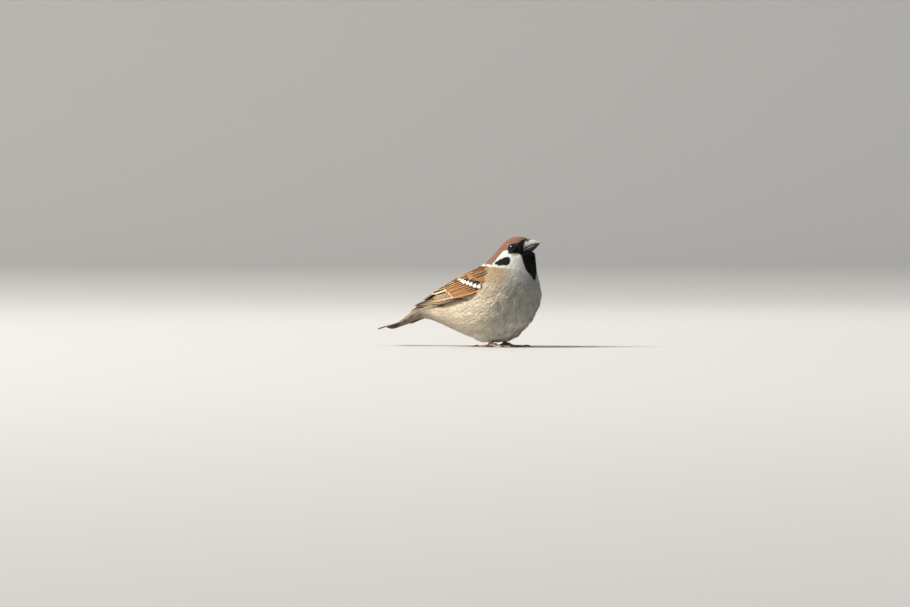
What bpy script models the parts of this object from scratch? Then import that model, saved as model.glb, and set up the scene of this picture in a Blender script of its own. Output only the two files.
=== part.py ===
"""Eurasian tree sparrow (Passer montanus), adult, life size: a still model that sits fluffed up on flat ground.

The bird faces +X with +Z up, and its right side is towards -Y. All sizes below are in millimetres and are
turned into metres where a mesh is made. The side outline is laid out from a point on the ground between the
feet. At the end everything is shifted so that the origin is under the middle of the whole bird.

The feathered body is one smooth loft, parted with thin cuts into head, neck, trunk and the root of the tail.
Eyes, bill, wings, thighs and shanks sit in pockets cut in it, with a thin gap all round.
"""
import math

import bmesh
import bpy
import numpy as np
from mathutils import Vector
from mathutils.bvhtree import BVHTree

MM = 0.001
GAP = 0.3               # clear space between neighbouring pieces
RING = 26               # points round a section of the body
STEPS = 3               # sections between two named stations of the body

# Side outline of the feathered body: where each section meets the back and the belly (x, z of each), its
# half width, and how far its widest place lies below the middle, as a part of the half width.
STATIONS = (
    ("bill_root", 22.2, 73.0, 23.8, 67.4, 3.8, 0.00),
    ("lores",     20.8, 74.7, 24.9, 63.8, 6.2, 0.00),
    ("eyes",      16.2, 75.9, 25.5, 58.8, 8.8, 0.03),
    ("ears",       9.4, 75.0, 26.2, 53.6, 10.9, 0.10),
    ("nape",       3.8, 71.4, 27.0, 47.7, 13.0, 0.14),
    ("collar",    -1.0, 66.0, 28.0, 41.4, 16.2, 0.12),
    ("shoulders", -6.2, 60.4, 28.0, 34.4, 20.4, 0.08),
    ("mantle",   -12.2, 56.4, 26.7, 27.4, 23.0, 0.06),
    ("breast",   -18.8, 52.8, 22.6, 19.8, 24.2, 0.06),
    ("back",     -25.2, 49.2, 15.8, 11.6, 24.0, 0.08),
    ("belly",    -32.0, 45.4, 6.6, 5.0, 22.6, 0.10),
    ("flanks",   -39.0, 41.6, -5.5, 3.6, 20.2, 0.10),
    ("rump",     -46.0, 38.0, -19.0, 6.2, 17.0, 0.08),
    ("vent",     -53.0, 34.4, -32.5, 11.0, 13.4, 0.05),
    ("coverts",  -60.0, 30.6, -46.0, 16.2, 9.6, 0.00),
    ("tail_root", -66.0, 27.4, -58.0, 19.4, 6.8, 0.00),
    ("tail_fold", -71.0, 24.8, -70.0, 18.4, 5.2, 0.00),
)

# Cuts that part the body, each through two points of the side view (x, z), back point first.
HEAD_CUT = ((1.6, 67.8), (26.0, 54.6))
NECK_CUT = ((-7.0, 58.6), (28.0, 46.0))
TAIL_CUT = ((-58.5, 31.6), (-48.5, 15.0))

EYE_X = 14.5            # along the head
EYE_Z = 68.3
EYE_RADIUS = 3.1        # of the ball; a cap about 4.2 across shows
EYE_DEPTH = 2.3         # from the feathered surface to the middle of the ball

BILL_WIDTH = 3.9        # half width at the root
CULMEN = ((19.4, 74.0), (23.0, 74.5), (27.6, 73.9), (31.8, 72.3))     # ridge of the bill, root to tip
GAPE = ((17.6, 65.6), (21.6, 68.2), (26.2, 70.4), (31.5, 71.8))       # line where its halves meet
GONYS = ((20.2, 63.0), (24.2, 65.3), (28.0, 68.0), (31.1, 71.1))      # lower edge of the bill
BILL_STEPS = 9
BILL_SIDES = 10         # points over one half of the bill

# Closed right wing, shoulder to tip: upper edge (x, out, z), lower edge (x, out, z), thickness, bow outward.
WING = (
    (3.0, 14.8, 48.0, 4.0, 17.0, 44.5, 1.4, 0.3),
    (0.0, 12.0, 51.2, 3.0, 20.8, 40.0, 2.4, 2.0),
    (-5.0, 10.0, 53.8, -1.0, 23.0, 37.4, 3.2, 3.4),
    (-12.0, 8.4, 54.2, -8.5, 23.8, 35.4, 3.6, 4.0),
    (-21.0, 7.0, 50.6, -18.0, 23.4, 33.0, 3.6, 3.9),
    (-30.0, 5.8, 46.4, -28.0, 21.4, 31.0, 3.4, 3.5),
    (-38.0, 4.8, 42.6, -37.0, 18.4, 29.2, 3.0, 2.8),
    (-46.0, 3.8, 38.8, -45.0, 14.4, 27.8, 2.5, 2.0),
    (-54.0, 3.0, 35.0, -53.0, 10.4, 26.8, 2.0, 1.2),
    (-61.0, 2.6, 31.7, -60.0, 7.0, 26.4, 1.4, 0.6),
    (-66.5, 2.8, 29.0, -66.0, 4.2, 27.4, 0.8, 0.2),
)
WING_ACROSS = 7         # points across one face of the wing
WING_STEPS = 2

TAIL_BASE = (-57.0, 24.6)
TAIL_TIP = (-94.0, 12.4)
TAIL_SAG = 1.2          # how far the tail's middle hangs under the straight line
TAIL_ROOT_HALF = 5.6
TAIL_TIP_HALF = 10.2
TAIL_THICK = (3.0, 1.0)
TAIL_ROOF = 1.3         # how far the sides hang under the middle feathers
TAIL_NOTCH = 2.6
TAIL_ACROSS = 8
TAIL_STEPS = 12

LEG_OUT = 9.6           # from the middle of the bird to each foot
FOOT_X = -0.8           # where the toes meet the shank
FOOT_Z = 2.3
ANKLE = (-12.0, 11.0, 12.5)       # x, out, z of the heel, hidden in the belly feathers
SHANK_RADIUS = 0.95
THIGH_CENTRE = (-8.0, 10.6, 10.4)
THIGH_RADII = (10.0, 5.4, 6.6)
THIGH_PITCH = 20.0      # degrees, front end down

# Toes: direction from straight ahead (degrees, outward positive), length, claw length, start off the shank's
# middle (ahead, outward), radius.
TOES = (
    ("hind",   180.0, 8.2, 5.0, -1.9, 0.0, 0.86),
    ("inner", -20.0, 9.4, 3.9, 1.7, -1.75, 0.72),
    ("middle",  3.0, 13.2, 4.4, 2.2, 0.0, 0.78),
    ("outer",  24.0, 9.8, 3.7, 1.7, 1.75, 0.72),
)
TOE_SIDES = 8
TOE_STEPS = 6
TOE_SINK = 0.86         # height of a toe's middle over the ground, as a part of its radius
CLAW_STEPS = 5
CLAW_SIDES = 6
CLAW_THICK = 0.62       # radius of a claw's root, as a part of the toe's
CLAW_POINT = 0.2
CLAW_TIP = 0.14         # height of the middle of the point
CLAW_ARCH = 0.45

COLOURS = {
    "chestnut": ((0.23, 0.085, 0.04), 0.85, 0.0),
    "mantle": ((0.36, 0.17, 0.06), 0.85, 0.0),
    "buff": ((0.55, 0.46, 0.34), 0.9, 0.0),
    "white": ((0.75, 0.72, 0.66), 0.9, 0.0),
    "eye": ((0.012, 0.008, 0.006), 0.05, 0.0),
    "bill": ((0.05, 0.045, 0.045), 0.4, 0.0),
    "feet": ((0.55, 0.33, 0.25), 0.55, 0.0),
    "claw": ((0.06, 0.045, 0.04), 0.4, 0.0),
}


def clear_scene():
    for item in list(bpy.data.objects):
        bpy.data.objects.remove(item, do_unlink=True)


def new_collection(name):
    collection = bpy.data.collections.new(name)
    bpy.context.scene.collection.children.link(collection)
    return collection


def material(name):
    """One plain Principled material per finish."""
    if name in bpy.data.materials:
        return bpy.data.materials[name]
    made = bpy.data.materials.new(name)
    made.use_nodes = True
    colour, rough, metal = COLOURS[name]
    shader = made.node_tree.nodes["Principled BSDF"]
    shader.inputs["Base Color"].default_value = (*colour, 1.0)
    shader.inputs["Roughness"].default_value = rough
    shader.inputs["Metallic"].default_value = metal
    return made


def curve_through(points, steps):
    """Points of a smooth curve through all the given ones (Catmull-Rom), with steps to each span."""
    given = np.array(points, dtype=float)
    before = 2.0 * given[0] - given[1]
    after = 2.0 * given[-1] - given[-2]
    padded = np.vstack([before, given, after])
    out = []
    for i in range(len(given) - 1):
        a, b, c, d = padded[i:i + 4]
        for k in range(steps):
            t = k / steps
            out.append(0.5 * (2 * b + (c - a) * t + (2 * a - 5 * b + 4 * c - d) * t * t
                              + (3 * b - 3 * c + d - a) * t ** 3))
    out.append(given[-1])
    return np.array(out)


def new_object(name, mesh, collection, finish=None):
    item = bpy.data.objects.new(name, mesh)
    collection.objects.link(item)
    if finish:
        mesh.materials.clear()
        mesh.materials.append(material(finish))
        mesh.shade_smooth()
        mesh.set_sharp_from_angle(angle=math.radians(40))
    return item


def as_cutter(item):
    item.hide_render = True
    item.display_type = "WIRE"
    return item


def loft(name, rings, collection, finish=None):
    """A closed solid through rings of points in millimetres, its ends closed by fans round their middles."""
    rings = [np.asarray(ring, dtype=float) for ring in rings]
    count = len(rings[0])
    verts = [tuple(p * MM) for ring in rings for p in ring]
    faces = []
    for i in range(len(rings) - 1):
        low = i * count
        high = low + count
        for k in range(count):
            n = (k + 1) % count
            faces.append((low + k, low + n, high + n, high + k))
    for start, ring in ((0, rings[0]), ((len(rings) - 1) * count, rings[-1])):
        middle = len(verts)
        verts.append(tuple(ring.mean(axis=0) * MM))
        for k in range(count):
            faces.append((start + k, middle, start + (k + 1) % count))
    mesh = bpy.data.meshes.new(name)
    mesh.from_pydata(verts, [], faces)
    tidy_normals(mesh)
    return new_object(name, mesh, collection, finish)


def tidy_normals(mesh):
    work = bmesh.new()
    work.from_mesh(mesh)
    bmesh.ops.recalc_face_normals(work, faces=work.faces)
    work.to_mesh(mesh)
    work.free()
    mesh.update()


def grown(item, collection, by=GAP):
    """A cutter: a copy of a piece with its surface moved out by a gap."""
    mesh = item.data.copy()
    mesh.update()
    moved = [v.co + v.normal * by * MM for v in mesh.vertices]
    for vertex, place in zip(mesh.vertices, moved):
        vertex.co = place
    mesh.update()
    return as_cutter(new_object(item.name + "_pocket", mesh, collection))


def cut_pocket(item, cutter):
    """Takes a cutter's shape out of a piece, with the EXACT solver."""
    boolean = item.modifiers.new("pocket_" + cutter.name, "BOOLEAN")
    boolean.operation = "DIFFERENCE"
    boolean.object = cutter


def body_sections():
    """Rings of the whole feathered body, from the root of the bill to the root of the tail."""
    shape = curve_through([station[1:] for station in STATIONS], STEPS)
    angles = 2.0 * math.pi * np.arange(RING) / RING
    rings = []
    for back_x, back_z, belly_x, belly_z, half, low in shape:
        middle = np.array(((back_x + belly_x) / 2, 0.0, (back_z + belly_z) / 2))
        up = np.array(((back_x - belly_x) / 2, 0.0, (back_z - belly_z) / 2))
        ring = []
        for angle in angles:
            out = half * math.sin(angle) * (1.0 - low * math.cos(angle))
            ring.append(middle + up * math.cos(angle) + np.array((0.0, out, 0.0)))
        rings.append(np.array(ring))
    return rings


def slice_between(name, whole, collection, finish, front=None, rear=None):
    """The part of the body behind one cut and ahead of another, each end closed flat half a gap from it."""
    work = bmesh.new()
    work.from_mesh(whole.data)
    for cut, keep_rear in ((front, True), (rear, False)):
        if cut is None:
            continue
        (back_x, back_z), (belly_x, belly_z) = cut
        along = Vector((belly_x - back_x, 0.0, belly_z - back_z)).normalized()
        forward = Vector((-along.z, 0.0, along.x))
        point = Vector((back_x * MM, 0.0, back_z * MM))
        away = forward if keep_rear else -forward
        point = point - away * (GAP / 2 * MM)
        geometry = work.verts[:] + work.edges[:] + work.faces[:]
        made = bmesh.ops.bisect_plane(work, geom=geometry, plane_co=point, plane_no=away, clear_outer=True)
        rim = [e for e in made["geom_cut"] if isinstance(e, bmesh.types.BMEdge)]
        bmesh.ops.edgeloop_fill(work, edges=rim)
    bmesh.ops.triangulate(work, faces=[f for f in work.faces if len(f.verts) > 4])
    bmesh.ops.recalc_face_normals(work, faces=work.faces)
    mesh = bpy.data.meshes.new(name)
    work.to_mesh(mesh)
    work.free()
    return new_object(name, mesh, collection, finish)


def side_distance(whole, x, z):
    """How far out from the middle the body's side lies at a place of the side view."""
    work = bmesh.new()
    work.from_mesh(whole.data)
    tree = BVHTree.FromBMesh(work)
    work.free()
    hit = tree.ray_cast(Vector((x * MM, -0.1, z * MM)), Vector((0.0, 1.0, 0.0)))[0]
    return -hit.y / MM


def make_eye(side, sign, out, collection):
    bpy.ops.mesh.primitive_uv_sphere_add(segments=16, ring_count=10, radius=EYE_RADIUS * MM)
    made = bpy.context.object
    mesh = made.data
    bpy.data.objects.remove(made)
    for vertex in mesh.vertices:
        x, y, z = vertex.co
        vertex.co = (x, z, y)
    tidy_normals(mesh)
    place = Vector((EYE_X, sign * (out - EYE_DEPTH), EYE_Z)) * MM
    for vertex in mesh.vertices:
        vertex.co += place
    return new_object("eye_" + side, mesh, collection, "eye")


def make_bill(name, ridge, sign, collection):
    """One half of the bill: a dome from the gape line to its ridge, narrowing to the tip."""
    edge = curve_through(GAPE, BILL_STEPS // 3)
    crest = curve_through(ridge, BILL_STEPS // 3)
    rings = []
    for i in range(len(edge)):
        t = i / (len(edge) - 1)
        half = BILL_WIDTH * (1.0 - t ** 1.35) * (1.0 if sign > 0 else 0.93) + 0.12
        floor = edge[i] + np.array((0.0, sign * GAP / 2))
        height = crest[i] - floor
        ring = []
        for k in range(BILL_SIDES + 1):
            angle = math.pi * k / BILL_SIDES
            rise = math.sin(angle) ** 0.85
            out = half * math.cos(angle)
            ring.append((floor[0] + height[0] * rise, out, floor[1] + height[1] * rise))
        for k in range(1, 4):
            out = -half + 2.0 * half * k / 4
            ring.append((floor[0], out, floor[1]))
        rings.append(ring)
    return loft(name, rings, collection, "bill")


def make_wing(side, sign, collection):
    """A closed wing: a thin bowed plate that lies along the side and narrows over the rump."""
    shape = curve_through(WING, WING_STEPS)
    rings = []
    for row in shape:
        upper = row[0:3] * np.array((1.0, sign, 1.0))
        lower = row[3:6] * np.array((1.0, sign, 1.0))
        thick, bow = row[6], row[7]
        chord = lower - upper
        outward = np.array((0.0, sign * abs(chord[2]), sign * chord[1] * (1 if chord[2] < 0 else -1)))
        outward = outward / np.linalg.norm(outward)
        outer, inner = [], []
        for k in range(WING_ACROSS):
            v = k / (WING_ACROSS - 1)
            swell = math.sin(math.pi * v)
            on_bow = upper + chord * v + outward * bow * swell
            wall = 0.3 + (thick / 2 - 0.3) * swell ** 0.5
            outer.append(on_bow + outward * wall)
            inner.append(on_bow - outward * wall)
        rings.append(outer + inner[::-1])
    return loft("wing_" + side, rings, collection, "mantle")


def make_tail(root, collection):
    """The folded tail: a flat fan with a shallow notch, joined to the feathered root."""
    rings = []
    for i in range(TAIL_STEPS + 1):
        t = i / TAIL_STEPS
        x = TAIL_BASE[0] + (TAIL_TIP[0] - TAIL_BASE[0]) * t
        z = TAIL_BASE[1] + (TAIL_TIP[1] - TAIL_BASE[1]) * t - TAIL_SAG * math.sin(math.pi * t)
        half = TAIL_ROOT_HALF + (TAIL_TIP_HALF - TAIL_ROOT_HALF) * t ** 0.8
        corner = max(0.0, (t - 0.93) / 0.07)
        half -= 1.2 * corner ** 2
        thick = TAIL_THICK[0] + (TAIL_THICK[1] - TAIL_THICK[0]) * t
        top, under = [], []
        for k in range(TAIL_ACROSS + 1):
            v = -1.0 + 2.0 * k / TAIL_ACROSS
            wall = (0.3 + (thick / 2 - 0.3) * (1.0 - v * v))
            notch = TAIL_NOTCH * (1.0 - abs(v)) ** 1.5 * t ** 6
            place = np.array((x + notch, half * v, z - TAIL_ROOF * v * v * t))
            top.append(place + np.array((0.0, 0.0, wall)))
            under.append(place - np.array((0.0, 0.0, wall)))
        rings.append(top + under[::-1])
    fan = loft("tail_fan", rings, collection)
    as_cutter(fan)
    join = root.modifiers.new("fan", "BOOLEAN")
    join.operation = "UNION"
    join.object = fan


def make_thigh(side, sign, collection):
    """The feathered leg above the shank: an egg lying along the belly, its front end lower."""
    bpy.ops.mesh.primitive_uv_sphere_add(segments=14, ring_count=8, radius=1.0)
    made = bpy.context.object
    mesh = made.data
    bpy.data.objects.remove(made)
    pitch = math.radians(THIGH_PITCH)
    for vertex in mesh.vertices:
        x = vertex.co.x * THIGH_RADII[0]
        y = vertex.co.y * THIGH_RADII[1]
        z = vertex.co.z * THIGH_RADII[2]
        place = Vector((x * math.cos(pitch) + z * math.sin(pitch), y, z * math.cos(pitch) - x * math.sin(pitch)))
        middle = Vector((THIGH_CENTRE[0], sign * THIGH_CENTRE[1], THIGH_CENTRE[2]))
        vertex.co = (place + middle) * MM
    return new_object("thigh_" + side, mesh, collection, "buff")


def tube(name, path, radii, sides, collection, finish=None):
    """A round bar along a path of points in millimetres, with its own radius at each."""
    path = [Vector(point) for point in path]
    rings = []
    for i, point in enumerate(path):
        ahead = path[min(i + 1, len(path) - 1)] - path[max(i - 1, 0)]
        ahead.normalize()
        side = ahead.cross(Vector((0.0, 0.0, 1.0))).normalized()
        up = side.cross(ahead).normalized()
        ring = []
        for k in range(sides):
            angle = 2.0 * math.pi * (k + 0.5) / sides
            ring.append(point + (side * math.cos(angle) + up * math.sin(angle)) * radii[i])
        rings.append([tuple(p) for p in ring])
    return loft(name, rings, collection, finish)


def flatten_on_ground(item):
    """Cuts off what would reach below the ground, and leaves a small flat there."""
    work = bmesh.new()
    work.from_mesh(item.data)
    geometry = work.verts[:] + work.edges[:] + work.faces[:]
    made = bmesh.ops.bisect_plane(work, geom=geometry, plane_co=(0, 0, 0), plane_no=(0, 0, -1), clear_outer=True)
    rim = [e for e in made["geom_cut"] if isinstance(e, bmesh.types.BMEdge)]
    bmesh.ops.holes_fill(work, edges=rim)
    bmesh.ops.triangulate(work, faces=[f for f in work.faces if len(f.verts) > 4])
    bmesh.ops.recalc_face_normals(work, faces=work.faces)
    work.to_mesh(item.data)
    work.free()


def make_shank(side, sign, collection):
    """The bare shank from the heel down to a wide knuckle that carries the toes."""
    foot = np.array((FOOT_X, sign * LEG_OUT, FOOT_Z))
    heel = np.array((ANKLE[0], sign * ANKLE[1], ANKLE[2]))
    spots = (0.0, 0.08, 0.2, 0.5, 0.8, 0.92, 0.985, 1.0)
    radii = [1.2, 1.5, SHANK_RADIUS, 0.85, SHANK_RADIUS, 1.25, 1.45, 1.1]
    return tube("shank_" + side, [heel + (foot - heel) * t for t in spots], radii, 10, collection, "feet")


def make_toes(side, sign, collection):
    """Four toes and their claws; each toe comes down from the knuckle and lies on the ground on its pads."""
    for name, turn, length, claw, ahead, out, radius in TOES:
        angle = math.radians(turn)
        start = np.array((FOOT_X + ahead, sign * (LEG_OUT + out)))
        way = np.array((math.cos(angle), sign * math.sin(angle)))
        path, radii = [], []
        for i in range(TOE_STEPS + 1):
            t = i / TOE_STEPS
            place = start + way * length * t
            pads = 1.0 + 0.10 * math.cos(2.0 * math.pi * 3.0 * t)
            width = radius * (1.0 - 0.22 * t) * pads
            lift = (FOOT_Z - radius) * (1.0 - min(1.0, t / 0.35)) ** 1.6
            path.append((place[0], place[1], width * TOE_SINK + lift))
            radii.append(width)
        toe = tube("toe_%s_%s" % (name, side), path, radii, TOE_SIDES, collection, "feet")
        flatten_on_ground(toe)
        path, radii = [], []
        thick = radius * CLAW_THICK
        for i in range(CLAW_STEPS + 1):
            t = i / CLAW_STEPS
            place = start + way * (length + GAP + claw * t)
            arch = CLAW_ARCH * math.sin(math.pi * t)
            height = CLAW_TIP + (thick * 1.5 - CLAW_TIP) * math.cos(t * math.pi / 2) + arch
            path.append((place[0], place[1], height))
            radii.append(thick * (1.0 - t) ** 0.8 + CLAW_POINT * t)
        nail = tube("claw_%s_%s" % (name, side), path, radii, CLAW_SIDES, collection, "claw")
        flatten_on_ground(nail)


def stand_over_origin(pieces):
    """Shifts every mesh so that the origin is on the ground under the middle of the bird's box."""
    corners = []
    depsgraph = bpy.context.evaluated_depsgraph_get()
    for item in pieces:
        shown = item.evaluated_get(depsgraph).to_mesh()
        corners += [v.co.copy() for v in shown.vertices]
    low = Vector([min(c[k] for c in corners) for k in range(3)])
    high = Vector([max(c[k] for c in corners) for k in range(3)])
    shift = Vector((-(low.x + high.x) / 2, -(low.y + high.y) / 2, -low.z))
    for mesh in {item.data for item in bpy.data.objects if item.type == "MESH"}:
        for vertex in mesh.vertices:
            vertex.co += shift
        mesh.update()
    print("box", [round(v / MM, 1) for v in high - low], "shift", [round(v / MM, 2) for v in shift])


def main():
    clear_scene()
    bird = new_collection("tree_sparrow")
    cutters = new_collection("cutters")
    whole = as_cutter(loft("whole_body", body_sections(), cutters))
    head = slice_between("head", whole, bird, "chestnut", rear=HEAD_CUT)
    neck = slice_between("neck", whole, bird, "white", front=HEAD_CUT, rear=NECK_CUT)
    trunk = slice_between("trunk", whole, bird, "buff", front=NECK_CUT, rear=TAIL_CUT)
    tail = slice_between("tail", whole, bird, "mantle", front=TAIL_CUT)
    make_tail(tail, cutters)
    bills = (make_bill("bill_upper", CULMEN, 1, bird), make_bill("bill_lower", GONYS, -1, bird))
    for piece in bills:
        cut_pocket(head, grown(piece, cutters))
    out = side_distance(whole, EYE_X, EYE_Z)
    for side, sign in (("right", -1), ("left", 1)):
        cut_pocket(head, grown(make_eye(side, sign, out, bird), cutters))
        wing = grown(make_wing(side, sign, bird), cutters)
        for piece in (neck, trunk, tail):
            cut_pocket(piece, wing)
        thigh = make_thigh(side, sign, bird)
        cut_pocket(trunk, grown(thigh, cutters))
        shank = grown(make_shank(side, sign, bird), cutters)
        cut_pocket(thigh, shank)
        cut_pocket(trunk, shank)
        make_toes(side, sign, bird)
    bpy.context.view_layer.update()
    stand_over_origin(list(bird.objects))


main()
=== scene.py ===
# %% [markdown]
# # A tree sparrow, feather by feather
# This lesson dresses a plain, life-size body of a Eurasian tree sparrow. The solids give the true outline, and
# one skin lies a little inside them. Thousands of small feathers then lie on that skin like tiles on a roof,
# the wings and tail get their large feathers one by one, and the eyes, bill and feet come last. A bird could be
# painted on a smooth body, but then its edge would be a hard line, and plumage is mostly edge.

# %% Loading the body
import math
from contextlib import contextmanager
from itertools import product

import bmesh
import bpy
import numpy as np
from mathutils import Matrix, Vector
from mathutils.bvhtree import BVHTree


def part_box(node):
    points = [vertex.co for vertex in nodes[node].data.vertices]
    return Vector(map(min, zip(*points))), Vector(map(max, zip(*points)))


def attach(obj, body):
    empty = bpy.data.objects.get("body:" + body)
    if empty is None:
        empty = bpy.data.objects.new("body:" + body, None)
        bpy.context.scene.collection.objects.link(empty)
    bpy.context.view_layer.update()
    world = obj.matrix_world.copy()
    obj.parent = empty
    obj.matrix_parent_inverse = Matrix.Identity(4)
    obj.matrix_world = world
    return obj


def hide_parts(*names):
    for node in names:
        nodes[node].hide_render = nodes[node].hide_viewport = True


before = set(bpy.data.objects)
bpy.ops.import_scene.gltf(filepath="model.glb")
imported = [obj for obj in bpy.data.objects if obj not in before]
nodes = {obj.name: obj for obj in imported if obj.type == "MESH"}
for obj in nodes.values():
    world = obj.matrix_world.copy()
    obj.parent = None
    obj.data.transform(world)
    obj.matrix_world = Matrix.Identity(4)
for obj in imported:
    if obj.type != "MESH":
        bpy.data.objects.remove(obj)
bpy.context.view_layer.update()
MM = 0.001
BILL_TIP = 31.8         # mm from the bird's zero line, which crosses between its feet, to the bill's tip
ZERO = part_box("bill_upper")[1].x - BILL_TIP * MM
SIDES = (("right", -1), ("left", 1))
print("body", len(nodes), "nodes, zero line at x =", round(ZERO / MM, 2), "mm")


def place(x, y, z):
    """A point given in millimetres from the zero line, the middle plane and the ground."""
    return Vector((ZERO + x * MM, y * MM, z * MM))


# %% [markdown]
# ## Working on one object at a time
# Operators act on whatever is selected, so every step first selects its own object and nothing else. Edit mode
# is opened with all of a mesh selected, and parts of a mesh are chosen by their place.

# %% Helpers for objects and materials
def nothing_selected():
    if bpy.context.object and bpy.context.object.mode != "OBJECT":
        bpy.ops.object.mode_set(mode="OBJECT")
    bpy.ops.object.select_all(action="DESELECT")


def only(item):
    nothing_selected()
    item.select_set(True)
    bpy.context.view_layer.objects.active = item


@contextmanager
def editing(item):
    """Edit mode on one object, with all of its mesh selected."""
    only(item)
    bpy.ops.object.mode_set(mode="EDIT")
    bpy.ops.mesh.select_all(action="SELECT")
    yield
    bpy.ops.object.mode_set(mode="OBJECT")


def middle_of(mesh, edge):
    a, b = (mesh.vertices[i].co for i in edge.vertices)
    return (a + b) / 2


def choose(mesh, kind, test):
    """Selects the points or edges for which a test of their middle holds, and stays in edit mode."""
    bpy.ops.object.mode_set(mode="OBJECT")
    for group in (mesh.vertices, mesh.edges, mesh.polygons):
        group.foreach_set("select", [False] * len(group))
    for part in mesh.vertices if kind == "VERT" else mesh.edges:
        part.select = test(part.co if kind == "VERT" else middle_of(mesh, part))
    bpy.ops.object.mode_set(mode="EDIT")
    bpy.ops.mesh.select_mode(type=kind)


def freeze():
    """Puts the place, turn and size of the selected object in its mesh."""
    bpy.ops.object.transform_apply(location=True, rotation=True, scale=True)


def add(name, data):
    item = bpy.data.objects.new(name, data)
    bpy.context.scene.collection.objects.link(item)
    return item


def new_material(name, values):
    """A material with these values on its shader."""
    made = bpy.data.materials.new(name)
    made.use_nodes = True
    shader = made.node_tree.nodes["Principled BSDF"]
    for key, value in values.items():
        shader.inputs[key].default_value = value
    return made, made.node_tree, shader


# %% [markdown]
# ## Camera, floor and light
# The bird was seen from its front right through a long lens, and it fills a small part of the picture. A long
# lens from far away keeps its proportions flat and true. The light is one large soft lamp, high on the bird's
# back side, two weak ones that lift the shade, and a pale room, because plumage shows its form by slow changes.

# %% Camera, floor and light
HEADING = 30.0          # degrees between the bird's heading and the picture plane
LOOK_DOWN = 1.0         # degrees
LENS = 300.0
SENSOR = 36.0
PICTURE_WIDE = 0.628    # metres across the picture at the bird
AIM = (-31.0, 30.0)     # mm from the feet to the middle of the picture, along it and up
LAMP_AIM = (-10.0, 0.0, 35.0)       # mm
# name, azimuth and elevation in degrees, distance and size in metres, watts, colour
LAMPS = (
    ("key", -47.0, 45.0, 6.0, 2.3, 700.0, (1.0, 0.965, 0.90)),
    ("fill", 75.0, 15.0, 1.8, 1.2, 1.6, (0.90, 0.95, 1.0)),
    ("rim", 200.0, 45.0, 1.6, 0.7, 4.0, (1.0, 0.98, 0.95)),
)
PAPER = (0.49, 0.485, 0.475, 1.0)
ROOM, ROOM_STRENGTH = (0.86, 0.90, 0.95, 1.0), 0.28
FLOOR = (7.0, 9.0, 1.0)             # metres
CURVE, CURVE_STEP, WALL = 8, 0.35, 4.0          # how many steps turn the floor up, their length and the wall's


def spherical(azimuth, elevation):
    a, e = math.radians(azimuth), math.radians(elevation)
    return Vector((math.sin(a) * math.cos(e), -math.cos(a) * math.cos(e), math.sin(e)))


def point_at(item, target):
    item.rotation_euler = (target - item.location).to_track_quat("-Z", "Y").to_euler()


def add_camera():
    data = bpy.data.cameras.new("camera")
    data.lens = LENS
    data.sensor_width = SENSOR
    data.clip_end = 50.0
    camera = add("camera", data)
    along = Vector((math.cos(math.radians(HEADING)), math.sin(math.radians(HEADING)), 0.0))
    target = place(0.0, 0.0, AIM[1]) + along * AIM[0] * MM
    camera.location = target + spherical(HEADING, LOOK_DOWN) * PICTURE_WIDE * LENS / SENSOR
    point_at(camera, target)
    bpy.context.scene.camera = camera


def add_lamp(name, azimuth, elevation, distance, size, power, colour):
    data = bpy.data.lights.new(name, "AREA")
    data.shape = "DISK"
    data.size = size
    data.energy = power
    data.color = colour
    lamp = add(name, data)
    lamp.location = spherical(azimuth, elevation) * distance
    point_at(lamp, place(*LAMP_AIM))


def add_stage():
    """A floor that turns up into a wall far behind the bird, so that no edge shows."""
    nothing_selected()
    bpy.ops.mesh.primitive_plane_add(size=1.0, location=(0.0, 0.0, 0.0))
    floor = bpy.context.object
    floor.name = "stage_floor"
    with editing(floor):
        bpy.ops.transform.resize(value=FLOOR)
    choose(floor.data, "EDGE", lambda co: co.y > FLOOR[1] * 0.4)
    for turn in range(1, CURVE + 1):
        angle = math.radians(90.0 * turn / CURVE)
        step = (0.0, CURVE_STEP * math.cos(angle), CURVE_STEP * math.sin(angle))
        bpy.ops.mesh.extrude_region_move(TRANSFORM_OT_translate={"value": step})
    bpy.ops.mesh.extrude_region_move(TRANSFORM_OT_translate={"value": (0.0, 0.0, WALL)})
    bpy.ops.object.mode_set(mode="OBJECT")
    floor.rotation_euler = (0.0, 0.0, math.radians(HEADING))
    freeze()
    floor.data.shade_smooth()
    floor.data.materials.append(new_material("stage_paper", {"Base Color": PAPER, "Roughness": 0.9})[0])


add_camera()
add_stage()
for lamp in LAMPS:
    add_lamp(*lamp)
world = bpy.data.worlds.new("studio")
world.use_nodes = True
world.node_tree.nodes["Background"].inputs["Color"].default_value = ROOM
world.node_tree.nodes["Background"].inputs["Strength"].default_value = ROOM_STRENGTH
bpy.context.scene.world = world
bpy.context.scene.view_settings.view_transform = "Standard"
print("camera", round(PICTURE_WIDE * LENS / SENSOR, 2), "m away")

# %% [markdown]
# ## The outline of the plumage
# The body comes in parts with thin cuts between them. Copies of them are swelled until the cuts close, joined,
# and remeshed in small cubes, which melts them into one closed shape. Smoothing takes the steps away. That
# shape is the outline of the plumage, and the tips of the feathers reach up to it.

# %% Copies of solids, and how they are melted
SWELL = 0.25            # mm, closes the cuts
TAIL_ROOT, MELTS_OVER = -54.0, 8.0      # mm: where the step between body and tail begins to melt, and over how far
FLESH = ("head", "neck", "trunk", "tail", "thigh_left", "thigh_right")
MELTED = FLESH + ("wing_left", "wing_right", "eye_left", "eye_right")


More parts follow.
